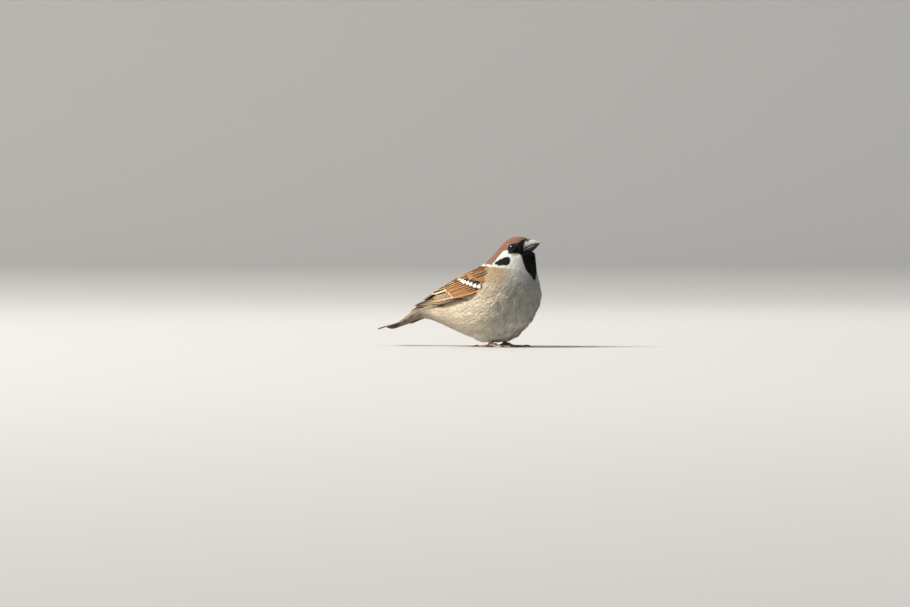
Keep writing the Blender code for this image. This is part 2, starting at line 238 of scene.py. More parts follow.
def copy_of(node, swell, cut=None):
    """A merged copy of a CAD node's mesh, cut off and closed behind some x, and swelled by some millimetres."""
    item = add(node + "_copy", nodes[node].data.copy())
    item.data.materials.clear()
    with editing(item):
        bpy.ops.mesh.remove_doubles(threshold=0.000001)
        bpy.ops.mesh.normals_make_consistent(inside=False)
    if cut is not None:
        with editing(item):
            bpy.ops.mesh.bisect(plane_co=place(cut, 0, 0), plane_no=(-1.0, 0.0, 0.0), use_fill=True, clear_outer=True)
    with editing(item):
        bpy.ops.transform.shrink_fatten(value=swell * MM)
    return item


def apply_modifier(item, kind, **values):
    """Adds a modifier with these settings and applies it."""
    only(item)
    modifier = item.modifiers.new(kind.lower(), kind)
    for key, value in values.items():
        setattr(modifier, key, value)
    bpy.ops.object.modifier_apply(modifier=modifier.name)


def smooth(item, rounds, **values):
    apply_modifier(item, "SMOOTH", factor=0.5, iterations=rounds, **values)


def melt(items, name, voxel, rounds):
    """Joins objects, remeshes them in cubes of some millimetres, and smooths the steps away."""
    only(items[0])
    for item in items[1:]:
        item.select_set(True)
    if len(items) > 1:
        bpy.ops.object.join()
    items[0].name = items[0].data.name = name
    apply_modifier(items[0], "REMESH", mode="VOXEL", voxel_size=voxel * MM)
    smooth(items[0], rounds)
    return items[0]


def numbers(mesh, what="co"):
    """The places or normals of a mesh's points, as an array."""
    out = np.zeros(len(mesh.vertices) * 3, np.float32)
    if what == "co":
        mesh.vertices.foreach_get("co", out)
    else:
        mesh.vertex_normals.foreach_get("vector", out)
    return out.reshape(-1, 3).astype(float)


def soften_tail_root(item, rounds):
    """Melts the step between the body and the tail."""
    behind = (TAIL_ROOT - (numbers(item.data)[:, 0] - ZERO) / MM) / MELTS_OVER
    group = item.vertex_groups.new(name="tail_root")
    for i in np.nonzero(behind > 0.0)[0].tolist():
        group.add([i], float(min(1.0, behind[i])), "REPLACE")
    smooth(item, rounds, vertex_group="tail_root")


outline = melt([copy_of(node, SWELL) for node in MELTED], "outline", 0.62, 6)
soften_tail_root(outline, 140)
print("outline", len(outline.data.polygons), "faces")

# %% [markdown]
# ## The guides
# How deep the coat is, which way the feathers lie, how long and broad they are, and how close together they
# grow all change slowly over a bird. They could be painted as maps, but a few guides blended by distance are
# easier to read and to change.

# %% The guides of the plumage
# x, out, z (mm) | lie: x, out, z | depth, length, width, spacing (mm)
GUIDES = np.array((
    (22.6, 0.0, 74.0, -1.0, 0.0, 0.15, 0.35, 1.5, 0.70, 0.42),
    (20.6, 5.0, 71.5, -0.9, 0.3, -0.1, 0.35, 1.3, 0.60, 0.40),
    (20.3, 5.2, 67.5, -0.8, 0.4, -0.5, 0.35, 1.3, 0.60, 0.40),
    (14.0, 0.0, 76.2, -1.0, 0.0, 0.0, 0.8, 2.7, 1.05, 0.66),
    (7.0, 0.0, 74.0, -0.8, 0.0, -0.6, 0.9, 3.1, 1.2, 0.76),
    (14.5, 8.6, 72.2, -0.9, 0.1, -0.1, 0.45, 1.5, 0.62, 0.42),
    (14.5, 10.4, 64.6, -0.9, 0.1, -0.45, 0.45, 1.5, 0.65, 0.44),
    (10.0, 11.0, 68.5, -0.9, 0.1, -0.45, 0.5, 1.7, 0.8, 0.48),
    (14.0, 11.5, 61.0, -0.85, 0.1, -0.55, 0.8, 2.3, 0.95, 0.62),
    (8.0, 13.0, 58.5, -0.85, 0.0, -0.55, 0.9, 2.7, 1.1, 0.7),
    (20.0, 6.0, 63.2, -0.6, 0.1, -0.8, 0.5, 1.6, 0.7, 0.46),
    (25.0, 0.0, 65.0, 0.1, 0.0, -1.0, 0.4, 1.5, 0.7, 0.45),
    (26.5, 0.0, 57.0, 0.05, 0.0, -1.0, 1.0, 2.9, 1.1, 0.74),
    (0.0, 0.0, 67.5, -0.62, 0.0, -0.78, 1.1, 3.8, 1.4, 0.9),
    (5.0, 16.0, 51.0, -0.6, 0.1, -0.8, 1.3, 4.0, 1.6, 1.02),
    (-5.0, 8.0, 60.0, -0.8, 0.1, -0.6, 1.2, 4.0, 1.6, 1.0),
    (-14.0, 0.0, 55.0, -0.86, 0.0, -0.5, 1.4, 6.0, 2.5, 1.4),
    (28.0, 0.0, 46.0, 0.0, 0.0, -1.0, 1.8, 4.6, 1.8, 1.2),
    (27.0, 0.0, 32.0, -0.35, 0.0, -0.95, 2.2, 5.6, 2.2, 1.42),
    (10.0, 22.0, 42.0, -0.6, 0.05, -0.8, 2.0, 5.2, 2.0, 1.36),
    (0.0, 24.0, 30.0, -0.85, 0.0, -0.5, 2.2, 6.6, 2.4, 1.55),
    (-25.0, 20.0, 22.0, -0.97, -0.05, -0.2, 2.2, 7.6, 2.6, 1.65),
    (14.0, 0.0, 12.0, -0.85, 0.0, -0.5, 2.2, 6.2, 2.4, 1.55),
    (-5.0, 0.0, 4.0, -1.0, 0.0, 0.05, 2.0, 6.6, 2.4, 1.55),
    (-30.0, 0.0, 10.0, -0.93, 0.0, 0.35, 1.8, 7.0, 2.4, 1.55),
    (-52.0, 0.0, 18.0, -0.99, 0.0, 0.05, 1.2, 9.4, 2.8, 1.5),
    (-46.0, 0.0, 38.0, -0.87, 0.0, -0.48, 1.5, 6.8, 2.6, 1.5),
    (-62.0, 0.0, 29.5, -0.94, 0.0, -0.34, 1.0, 9.6, 2.8, 1.5),
    (-8.0, 14.0, 8.0, -0.5, 0.0, -0.9, 1.0, 3.6, 1.6, 1.05),
    (-30.0, 0.0, 48.0, -0.86, 0.0, -0.5, 1.4, 6.4, 2.6, 1.5),
))
# The table gives the spacing of a loose coat. A dense one is closer, most of all where the feathers are long.
GUIDES[:, 9] *= np.where(GUIDES[:, 7] > 3.5, 0.57, 0.76)


def in_mm(points):
    """World points to millimetres from the zero line, with the distance out as a positive number."""
    out = np.array(points, float) / MM
    out[..., 0] -= ZERO / MM
    out[..., 1] = np.abs(out[..., 1])
    return out


def by_distance(points, table, near):
    """The rest of a table's rows at these world points, blended by the distance from its places."""
    far = ((in_mm(points)[:, None, :] - table[None, :, :3]) ** 2).sum(-1)
    weight = 1.0 / (far + near) ** 2
    weight /= weight.sum(1, keepdims=True)
    return weight @ table[:, 3:]


def guided(points):
    """The guides' lie, and their depth, length, width and spacing, at these world points."""
    blended = by_distance(points, GUIDES, 1.5)
    lie = blended[:, :3].copy()
    lie[:, 1] *= np.sign(np.asarray(points)[:, 1])
    return lie, blended[:, 3:]


# %% [markdown]
# ## The skin
# The skin is a second closed shape made in the same way, but its tail is a stub and its wings end at the
# shoulder, because the large feathers carry those shapes on their own. A Displace modifier moves it inwards by
# the depth of the feathers: little on the face, more on the breast and flanks. Beside the bill the face is drawn
# in, so that the corner of the mouth lies free.

# %% Making the skin
SKIN_TAIL, SKIN_WING = -69.0, -20.0     # where the flesh of the tail and of the wings ends, mm
BARE = 0.25             # mm of the depth kept between the skin and the lowest feathers
DEEPEST = 4.0           # mm
# x in mm, and the share that the face's width loses there towards the bill
FACE = ((16.2, 0.0), (17.0, 0.06), (18.0, 0.20), (19.0, 0.36), (20.0, 0.50), (21.0, 0.57), (22.0, 0.61),
        (24.0, 0.62))
BILL_BAND = ((17.0, 65.0, 72.0), (20.0, 65.0, 72.5), (24.0, 66.5, 74.3))     # x, lowest and highest place of its base
BROW = ((66.2, 0.0), (70.4, 2.0), (73.6, 2.8))       # height, and how much further forward the feathers reach there
CHIN_FADE, BROW_FADE = 2.8, 2.6         # mm over which the change ends under and over that band


def read(table, at, column=1):
    """Reads a small table between the values of its first column."""
    rows = sorted(table)
    return np.interp(at, [row[0] for row in rows], [row[column] for row in rows])


def move(item, points):
    item.data.vertices.foreach_set("co", points.astype(np.float32).ravel())
    item.data.update()


def slim_face(item):
    """Draws the face in on both sides of the bill."""
    points = numbers(item.data)
    x, _, z = in_mm(points).T
    taken = read(FACE, x - read(BROW, z))
    off = np.maximum((read(BILL_BAND, x) - z) / CHIN_FADE, (z - read(BILL_BAND, x, 2)) / BROW_FADE)
    near = np.clip(1.0 - off, 0.0, 1.0)
    points[:, 1] *= 1.0 - taken * near * near * (3.0 - 2.0 * near)
    move(item, points)


def skin_part(node):
    cut = SKIN_TAIL if node == "tail" else SKIN_WING if node.startswith("wing") else None
    return copy_of(node, SWELL, cut)


skin = melt([skin_part(node) for node in MELTED], "skin", 0.75, 8)
soften_tail_root(skin, 90)
deep = skin.vertex_groups.new(name="depth")
for i, depth in enumerate(guided(numbers(skin.data))[1][:, 0] + BARE):
    deep.add([i], float(depth) / DEEPEST, "REPLACE")
apply_modifier(skin, "DISPLACE", strength=-DEEPEST * MM, mid_level=0.0, vertex_group="depth", direction="NORMAL")
smooth(skin, 3)
slim_face(skin)
slim_face(outline)
skin.data.uv_layers.new(name="OFBake")
with editing(skin):
    bpy.ops.uv.smart_project(angle_limit=math.radians(66), island_margin=0.01)
skin.data.shade_smooth()
print("skin", len(skin.data.polygons), "faces")


# %% Search trees, and the place of each face on the unwrap
def tree_of(item):
    work = bmesh.new()
    work.from_mesh(item.data)
    tree = BVHTree.FromBMesh(work)
    work.free()
    return tree


def distance_to(node_names, points):
    """How far each point is from the nearest of these CAD nodes."""
    best = np.full(len(points), 1.0)
    for name in node_names:
        tree = tree_of(nodes[name])
        best = np.minimum(best, [tree.find_nearest(p)[3] for p in points.tolist()])
    return best


def face_maps(mesh):
    """The mean place of each face on the unwrap."""
    uv = np.zeros(len(mesh.loops) * 2, np.float32)
    mesh.uv_layers["OFBake"].data.foreach_get("uv", uv)
    uv = uv.reshape(-1, 2)
    start = np.array([p.loop_start for p in mesh.polygons])
    return (uv[start] + uv[start + 2]) / 2.0


skin_tree, bed_tree = tree_of(skin), tree_of(outline)
skin_map = face_maps(skin.data)
print(len(skin_map), "places on the unwrap")

# %% [markdown]
# ## The markings
# A tree sparrow is known by its head: a chestnut cap, white cheeks with a black spot, a white collar and a small
# black bib. One function gives the colour at any place on the bird, from a few outlines in side view and
# distances from the middle plane. The skin and every feather ask the same function, so they always agree.

# %% The markings
CHESTNUT = (0.235, 0.118, 0.080)
WHITE = (0.66, 0.65, 0.62)
BLACK = (0.005, 0.005, 0.0055)
LORE = (0.024, 0.019, 0.016)
# x, out, z (mm) | colour, and how dark a streak the feathers carry
GROUND = np.array((
    (22.0, 11.0, 50.0, 0.54, 0.52, 0.48, 0.0),
    (27.0, 4.0, 42.0, 0.36, 0.355, 0.33, 0.0),
    (26.0, 6.0, 32.0, 0.34, 0.33, 0.30, 0.0),
    (22.0, 16.0, 42.0, 0.39, 0.37, 0.32, 0.0),
    (18.0, 16.0, 30.0, 0.38, 0.36, 0.31, 0.0),
    (8.0, 18.0, 51.0, 0.40, 0.30, 0.185, 0.0),
    (2.0, 22.0, 40.0, 0.53, 0.44, 0.31, 0.0),
    (-2.0, 23.0, 30.0, 0.64, 0.56, 0.43, 0.0),
    (-20.0, 21.0, 24.0, 0.65, 0.555, 0.42, 0.0),
    (-38.0, 16.0, 20.0, 0.60, 0.50, 0.37, 0.0),
    (14.0, 6.0, 14.0, 0.50, 0.47, 0.40, 0.0),
    (0.0, 0.0, 4.0, 0.58, 0.55, 0.48, 0.0),
    (-25.0, 0.0, 8.0, 0.60, 0.56, 0.48, 0.0),
    (-50.0, 0.0, 17.0, 0.52, 0.46, 0.36, 0.12),
    (-3.0, 4.0, 60.0, 0.24, 0.105, 0.045, 0.0),
    (-10.0, 4.0, 56.5, 0.27, 0.12, 0.040, 0.45),
    (-10.0, 11.0, 54.5, 0.29, 0.125, 0.038, 0.6),
    (-20.0, 4.0, 52.0, 0.28, 0.145, 0.06, 0.7),
    (-30.0, 3.0, 47.5, 0.22, 0.14, 0.078, 0.5),
    (-46.0, 3.0, 38.5, 0.215, 0.155, 0.098, 0.0),
    (-60.0, 3.0, 31.0, 0.20, 0.145, 0.092, 0.1),
))
# outlines in side view, x and z in mm
CAP = ((24.5, 80.0), (23.4, 72.8), (21.3, 72.2), (14.5, 71.2), (12.6, 69.0), (11.6, 67.0), (8.8, 66.5), (6.4, 63.8),
       (3.2, 58.6), (2.6, 57.2), (-8.0, 57.9), (-9.6, 59.6), (-14.0, 62.0), (-14.0, 80.0))
LORES = ((18.6, 64.9), (19.6, 64.0), (22.5, 63.2), (25.0, 74.3), (20.6, 74.2), (19.4, 72.4), (14.5, 71.4),
         (12.6, 69.0), (14.4, 65.3))
CHEEK = ((23.0, 69.0), (15.0, 69.5), (9.0, 69.0), (6.6, 64.2), (2.6, 57.8), (3.0, 56.6), (10.0, 56.0),
         (15.2, 55.0), (21.5, 53.4), (25.0, 51.4), (28.0, 49.0), (29.0, 54.0), (25.0, 62.0))
EAR = ((4.4, 57.8), (7.5, 57.1), (11.0, 56.9), (15.2, 57.0), (16.3, 59.4), (15.6, 61.8), (13.2, 62.6), (10.8, 62.1),
       (8.8, 60.9), (4.6, 59.4))
# height, and how far forward and inward the bib's edge runs there
BIB = ((40.8, 27.4), (43.6, 25.9), (45.7, 24.6), (48.3, 22.5), (51.3, 19.9), (54.6, 17.6), (58.7, 16.2),
       (62.5, 15.2), (66.6, 14.6), (70.0, 14.6))
# how much of that edge counts forward, and how much inward
LEAD = (math.cos(math.radians(HEADING)), math.sin(math.radians(HEADING)))
EYE = (14.5, 68.3)
# x, and the height of the middle of the collar there
COLLAR = ((-12.0, 57.9), (-8.0, 57.3), (-2.0, 56.7), (3.0, 56.4), (10.0, 56.0), (18.6, 55.2), (22.0, 54.2))
COLLAR_HALF = ((-10.0, 0.80), (4.0, 0.68), (18.0, 0.9))       # x, and half the height of the collar there
SKIN_SHADE = (0.8, 0.8, 0.8, 1.0)           # the skin is a little darker than the feathers
COLLAR_ENDS = (-14.0, 21.0)          # x in mm
EAR_OUT = 5.0           # mm from the middle plane to where the black spot may begin
EYE_RING = 3.0          # mm round the eye that are black
PATCH_AT, PATCH_HALF = (15.3, 67.5), (3.8, 2.9)      # x and z of the black patch that joins eye and bill


def inside(x, z, corners):
    """Which points lie inside a closed outline in side view."""
    hit = np.zeros(x.shape, bool)
    for (ax, az), (bx, bz) in zip(corners, corners[1:] + corners[:1]):
        if az != bz:
            crosses = (az > z) != (bz > z)
            hit ^= crosses & (x < (bx - ax) * (z - az) / (bz - az) + ax)
    return hit


def plumage(points):
    """Colour and streak strength at world points, for the skin and the small feathers."""
    x, out, z = in_mm(points).T
    colours = by_distance(points, GROUND, 4.0)
    for mask, colour in (
        ((np.abs(z - read(COLLAR, x)) < read(COLLAR_HALF, x)) & (x > COLLAR_ENDS[0]) & (x < COLLAR_ENDS[1]), WHITE),
        (inside(x, z, CHEEK), WHITE),
        (inside(x, z, EAR) & (out > EAR_OUT), BLACK),
        (inside(x, z, CAP), CHESTNUT),
        (inside(x, z, LORES), LORE),
        ((x * LEAD[0] - out * LEAD[1] > read(BIB, z)) & (z > BIB[0][0]) & (z < BIB[-1][0]), BLACK),
        (np.hypot(x - EYE[0], z - EYE[1]) < EYE_RING, BLACK),
        (np.hypot((x - PATCH_AT[0]) / PATCH_HALF[0], (z - PATCH_AT[1]) / PATCH_HALF[1]) < 1.0, BLACK),
    ):
        colours[mask, :3] = colour
        colours[mask, 3] = 0.0
    return colours


def paint(item, colours, label="tint"):
    """Keeps colours on the points of a mesh. The alpha of the tint is the strength of the streak."""
    data = item.data.color_attributes.new(name=label, type="FLOAT_COLOR", domain="POINT")
    data.data.foreach_set("color", np.asarray(colours, np.float32).ravel())


paint(skin, plumage(numbers(skin.data)) * SKIN_SHADE)
print("markings on", len(skin.data.vertices), "points")

# %% [markdown]
# ## Feathers, modelled once
# A small feather is a soft vane round a fine shaft, and near its tip the barbs part and end one by one. Each
# pattern starts as a grid. Its cross rows are drawn in to a leaf shape and its edges are pulled out, one barb at
# a time, and pinched. Real hair strands would be softer, but a few flat barbs at the rim cost little and still
# break up the edge, and they export as plain mesh.

# %% Modelling the small vanes
BARBS_FROM = 0.30       # how far up a vane its barbs begin
DROOP, PINCH = 0.08, 0.16           # how far a barb hangs down, and how narrow its end is


def vane_grid(across, widths, relief):
    """A vane two units wide and one long, up along +Y from its root, with a width for each cross row."""
    nothing_selected()
    along = len(widths) - 1
    bpy.ops.mesh.primitive_grid_add(x_subdivisions=across, y_subdivisions=along, size=1.0)
    item = bpy.context.object
    with editing(item):
        bpy.ops.transform.resize(value=(2.0, 1.0, 1.0))
        bpy.ops.transform.translate(value=(0.0, 0.5, 0.0))
        for row, width in enumerate(widths):
            choose(item.data, "VERT", lambda co: abs(co.y - row / along) < 0.01)
            bpy.ops.transform.resize(value=(width, 1.0, 1.0))
        choose(item.data, "VERT", lambda co: abs(co.x) < 0.01)
        bpy.ops.transform.translate(value=(0.0, 0.0, relief))
    return item


def triangles(item, name):
    """The points and triangles of a modelled feather."""
    with editing(item):
        bpy.ops.mesh.quads_convert_to_tris()
    faces = np.array([tuple(p.vertices) for p in item.data.polygons])
    print(name, len(faces), "faces")
    return numbers(item.data), faces


def model_vane(name, across, widths, reach, barb_up, relief):
    """A small feather, with barbs drawn out of its rim by some reach sideways and up."""
    item = vane_grid(across, widths, relief)
    mesh = item.data
    uses = [key for p in mesh.polygons for key in p.edge_keys]
    rim = [middle_of(mesh, e) for e in mesh.edges if uses.count(e.key) == 1]
    for at in rim:
        if at.y > BARBS_FROM:
            choose(mesh, "EDGE", lambda co: (co - at).length < 0.0001)
            side = max(-1.0, min(1.0, at.x * 1.6))
            shift = (side * reach, barb_up * (0.45 + 0.55 * at.y), -DROOP * abs(side))
            bpy.ops.mesh.extrude_region_move(TRANSFORM_OT_translate={"value": shift})
            bpy.ops.transform.resize(value=(PINCH, PINCH, PINCH))
    vane = triangles(item, name)
    bpy.data.objects.remove(item)
    return vane


SMALL = model_vane("vane_face", 2, (0.35, 0.85, 0.9, 0.55), 0.30, 0.28, 0.12)
NEAT = model_vane("vane_neat", 4, (0.25, 0.75, 1.0, 0.9, 0.55), 0.16, 0.20, 0.12)
LOOSE = model_vane("vane_loose", 4, (0.2, 0.55, 0.72, 0.66, 0.4), 0.42, 0.34, 0.10)
WISPY = model_vane("vane_wispy", 4, (0.15, 0.34, 0.42, 0.42, 0.36, 0.22), 0.75, 0.42, 0.06)

# %% [markdown]
# ## Laying the small feathers
# Roots are scattered over the outline so that no two come closer than the spacing there. Every feather is laid
# on the outline as it curves: its root goes down to the skin and its tip comes up to the outline, so each one
# covers the root of the next, like tiles. At the end of the body the outline bends away too sharply, and the
# coverts there lie straight from their roots to the tail.

# %% Scattering the roots
RNG = np.random.default_rng(7)
CELL = 2.0 * MM         # the grid in which near roots are looked for


def unit(vectors):
    return vectors / np.maximum(np.linalg.norm(vectors, axis=-1, keepdims=True), 1e-12)


def scatter(item, tries):
    """Roots all over a surface, no two closer than the guides' spacing."""
    mesh = item.data
    mesh.calc_loop_triangles()
    corners = np.zeros(len(mesh.loop_triangles) * 3, np.int32)
    mesh.loop_triangles.foreach_get("vertices", corners)
    tris = numbers(mesh)[corners.reshape(-1, 3)]
    normal = np.cross(tris[:, 1] - tris[:, 0], tris[:, 2] - tris[:, 0])
    gap = guided(tris.mean(1))[1][:, 3] * MM
    chance = np.linalg.norm(normal, axis=1) / 2 / gap ** 2
    picks = RNG.choice(len(tris), size=tries, p=chance / chance.sum())
    mix = RNG.random((tries, 2))
    flip = mix.sum(1) > 1
    mix[flip] = 1 - mix[flip]
    t = tris[picks]
    spots = t[:, 0] + (t[:, 1] - t[:, 0]) * mix[:, :1] + (t[:, 2] - t[:, 0]) * mix[:, 1:]
    grid, kept = {}, []
    around = list(product((-1, 0, 1), repeat=3))
    for n, (x, y, z) in enumerate(spots.tolist()):
        near = gap[picks[n]] ** 2
        a, b, c = math.floor(x / CELL), math.floor(y / CELL), math.floor(z / CELL)
        if not any((px - x) ** 2 + (py - y) ** 2 + (pz - z) ** 2 < near
                   for i, j, k in around for px, py, pz in grid.get((a + i, b + j, c + k), ())):
            grid.setdefault((a, b, c), []).append((x, y, z))
            kept.append(n)
    return spots[kept], unit(normal[picks][kept])


# %% Laying a feather on the outline
TAIL_BASE, TAIL_TIP, TAIL_SAG = (-57.0, 24.6), (-94.0, 12.4), 1.2     # x and z in mm
TAIL_ARCH = 1.3         # mm from the middle of the folded tail down to its sides
AGREES = 0.5            # how far the bed's normals under a feather may turn from its own, as a cosine
SPREADS = (0.75, 1.15)              # how long a feather may come out on the bed, as a share of its length
AIMED, AIMED_OVER = -51.0, 6.0          # mm: where the coverts begin to aim at the tail, and over how far
TOP_OFF, UNDER_OFF = 1.15, -1.5         # mm from the tail to the tips of the coverts over and under it
CAMBER = 0.16           # how far a feather's sides hang below its shaft, in half widths


def tail_height(x, side):
    """How high the top of the folded tail lies, with side from -1 to 1 across it."""
    t = (x - TAIL_BASE[0]) / (TAIL_TIP[0] - TAIL_BASE[0])
    return TAIL_BASE[1] + (TAIL_TIP[1] - TAIL_BASE[1]) * t - TAIL_SAG * np.sin(np.pi * t) - TAIL_ARCH * side ** 2 * t


def tail_half(t):
    """Half the width of the folded tail in mm, with t from 0 at its base to 1 at its tip."""
    return 5.6 + 4.6 * np.clip(t, 0.0, 2.0) ** 0.8


def aim_at_tail(roots, normals, sizes):
    """Net and normals of tail coverts, which lie straight from their roots to the tail."""
    mm = in_mm(roots)
    tip_x = mm[:, 0] - sizes[:, 1] / MM
    half = tail_half((TAIL_BASE[0] - tip_x) / (TAIL_BASE[0] - TAIL_TIP[0]))
    out = np.clip(mm[:, 1], 0.0, half * 0.86)
    above = normals[:, 2] > -0.15
    z = tail_height(tip_x, out / half) + np.where(above, TOP_OFF, UNDER_OFF)
    tips = np.stack((tip_x * MM + ZERO, out * np.sign(roots[:, 1]) * MM, z * MM), 1)
    flat = np.zeros_like(normals)
    flat[:, 2] = np.where(above, 1.0, -1.0)
    flat[:, 1] = 0.5 * np.sign(roots[:, 1]) * out / half
    way = (tips - roots)[:, None, :] * np.array((0.0, 0.5, 1.0))[None, :, None]
    normal = unit(normals[:, None] * np.array((1.0, 0.6, 0.15))[None, :, None]
                  + flat[:, None] * np.array((0.0, 0.4, 0.85))[None, :, None])
    sideways = unit(np.cross(unit(tips - roots)[:, None], normal))
    wide = np.array((-0.7, 0.0, 0.7))[None, None, :, None] * sizes[:, 2, None, None, None]
    net = roots[:, None, None] + way[:, :, None] + sideways[:, :, None] * wide
    return net, np.repeat(normal[:, :, None], 3, axis=2)


def nearest(tree, points):
    """The nearest places and normals on a surface."""
    found = [tree.find_nearest(p)[:2] for p in np.asarray(points, float).reshape(-1, 3).tolist()]
    return [np.array([f[k][:] for f in found]).reshape(np.shape(points)) for k in (0, 1)]


def lay_small(vane, roots, normals, lies, sizes, lift, tree=None):
    """Points of many small feathers: sizes are depth, length and width in metres for each."""
    ahead = unit(lies - normals * (lies * normals).sum(1, keepdims=True))
    across = np.cross(ahead, normals)
    along = np.array((0.0, 0.5, 1.0))
    wide = np.array((-1.0, 0.0, 1.0))
    net = (roots[:, None, None, :]
           + ahead[:, None, None, :] * (along[None, :, None, None] * sizes[:, 1, None, None, None])
           + across[:, None, None, :] * (wide[None, None, :, None] * sizes[:, 2, None, None, None] / 2))
    on_bed, bed_normal = nearest(tree or bed_tree, net)
    spread = np.linalg.norm(on_bed[:, 2, 1] - on_bed[:, 0, 1], axis=1) / sizes[:, 1]
    agree = np.einsum("fabk,fk->fab", bed_normal, normals).min((1, 2))
    fits = (agree > AGREES) & (spread > SPREADS[0]) & (spread < SPREADS[1])
    share = np.clip((AIMED - in_mm(roots)[:, 0]) / AIMED_OVER, 0.0, 1.0)
    if share.any() and tree is None:
        straight, flat = aim_at_tail(roots, normals, sizes)
        share = share[:, None, None, None]
        on_bed = on_bed + (straight - on_bed) * share
        bed_normal = unit(bed_normal + (flat - bed_normal) * share)
        fits |= share[:, 0, 0, 0] > 0.8
    u, v, w = vane.T
    by_u = np.stack((u * (u - 1) / 2, 1 - u * u, u * (u + 1) / 2), 1)
    by_v = np.stack(((v - 0.5) * (v - 1) * 2, v * (1 - v) * 4, v * (v - 0.5) * 2), 1)
    base = np.einsum("pa,pb,fabk->fpk", by_v, by_u, on_bed)
    up = unit(np.einsum("pa,pb,fabk->fpk", by_v, by_u, bed_normal))
    rise = 1.0 - (1.0 - np.clip(v, 0.0, 1.0)) ** 1.6
    height = (-sizes[:, :1] * (1.0 - rise[None, :]) + lift[:, None] * v[None, :] ** 2
              + sizes[:, 2:3] * 0.5 * (w - CAMBER * u * u)[None, :])
    return base + up * height[..., None], fits


# %% Joining feathers in one piece
PATCH = 0.003           # how wide each small feather's patch is on the skin's unwrap


def finish_piece(item, name, slot, material, *replaced):
    """Names a finished piece, gives it its material, and ties it to the bird."""
    item.name = item.data.name = name
    item.data.materials.clear()
    item.data.materials.append(material)
    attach(item, "root")
    if replaced:
        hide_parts(*replaced)
    print(name, len(item.data.polygons), "faces")


def feather_object(name, laid, tints):
    """Joins laid feathers, each with its points, triangles, feather map and bake map."""
    starts = np.cumsum([0] + [len(points) for points, *_ in laid])
    faces = np.concatenate([part[1] + start for part, start in zip(laid, starts)])
    verts, feather, bake = (np.concatenate([part[k] for part in laid]) for k in (0, 2, 3))
    mesh = bpy.data.meshes.new(name)
    mesh.vertices.add(len(verts))
    mesh.vertices.foreach_set("co", verts.astype(np.float32).ravel())
    mesh.loops.add(len(faces) * 3)
    mesh.loops.foreach_set("vertex_index", faces.astype(np.int32).ravel())
    mesh.polygons.add(len(faces))
    mesh.polygons.foreach_set("loop_start", np.arange(0, len(faces) * 3, 3, dtype=np.int32))
    mesh.update(calc_edges=True)
    for label, values in (("feather", feather), ("OFBake", bake)):
        layer = mesh.uv_layers.new(name=label)
        layer.data.foreach_set("uv", values[faces.ravel()].astype(np.float32).ravel())
    item = add(name, mesh)
    for label, values in tints.items():
        paint(item, np.concatenate(values), label)
    return item


def build_coat(name, slot, batches):
    """One region of the coat, from batches of laid feathers with their vane, colours and bake places."""
    laid, tints = [], []
    for points, (vane, tris), colours, spots in batches:
        count, each = points.shape[:2]
        local = np.stack((vane[:, 0] / 2 + 0.5, vane[:, 1]), 1)
        shift = (np.clip(local, 0.0, 1.0) - 0.5) * PATCH
        faces = tris[None] + (np.arange(count) * each)[:, None, None]
        laid.append((points.reshape(-1, 3), faces.reshape(-1, 3), np.tile(local, (count, 1)),
                     (spots[:, None, :] + shift[None]).reshape(-1, 2)))
        tints.append(np.repeat(colours, each, axis=0))
    item = feather_object(name, laid, {"tint": tints})
    item.data.shade_smooth()
    finish_piece(item, name, slot, SMALL_FEATHERS)


# %% [markdown]
# ## The finish of a feather
# Plumage is matt and soft: the barbs scatter light, and only a little of it comes back as a sheen. One node group
# draws what all feathers share, and every feather material has its own copy of the shader. The group reads the
# map that runs across and along each single feather: fine barbs slant out from the shaft, the shaft is a pale
# line, and the hidden base is grey down.

# %% Node helpers
def new_group(name, inputs, outputs):
    made = bpy.data.node_groups.new(name, "ShaderNodeTree")
    kinds = {"f": "NodeSocketFloat", "c": "NodeSocketColor"}
    for label, kind, default in inputs:
        socket = made.interface.new_socket(label, in_out="INPUT", socket_type=kinds[kind])
        socket.default_value = default
    for label, kind in outputs:
        made.interface.new_socket(label, in_out="OUTPUT", socket_type=kinds[kind])
    return made, made.nodes.new("NodeGroupInput").outputs, made.nodes.new("NodeGroupOutput").inputs


def node(tree, kind, inputs=(), **settings):
    """Adds a node, sets its properties, and sets or links its inputs by place or name."""
    made = tree.nodes.new("ShaderNode" + kind)
    for key, value in settings.items():
        setattr(made, key, value)
    for key, value in dict(inputs).items():
        if isinstance(value, bpy.types.NodeSocket):
            tree.links.new(value, made.inputs[key])
        else:
            made.inputs[key].default_value = value
    return made


def sums(tree, operation, *values):
    return node(tree, "Math", enumerate(values), operation=operation).outputs[0]


def blend(tree, factor, first, second, kind="MIX"):
    made = node(tree, "Mix", {0: factor, 6: first, 7: second}, data_type="RGBA", blend_type=kind)
    return made.outputs[2]


def ramp(tree, value, low, high, out_low=0.0, out_high=1.0, kind="SMOOTHSTEP"):
    made = node(tree, "MapRange", {0: value, 1: low, 2: high, 3: out_low, 4: out_high}, interpolation_type=kind)
    return made.outputs[0]


def shaded(tree, colour, shade):
    """A colour made darker or lighter by a number."""
    grey = node(tree, "CombineColor", {0: shade, 1: shade, 2: shade}).outputs[0]
    return blend(tree, 1.0, colour, grey, "MULTIPLY")


def painted(tree, label="tint"):
    """The colour and the alpha of a painted attribute."""
    made = node(tree, "Attribute", attribute_name=label)
    return made.outputs["Color"], made.outputs["Alpha"]


def on_object(tree):
    return node(tree, "TexCoord").outputs["Object"]


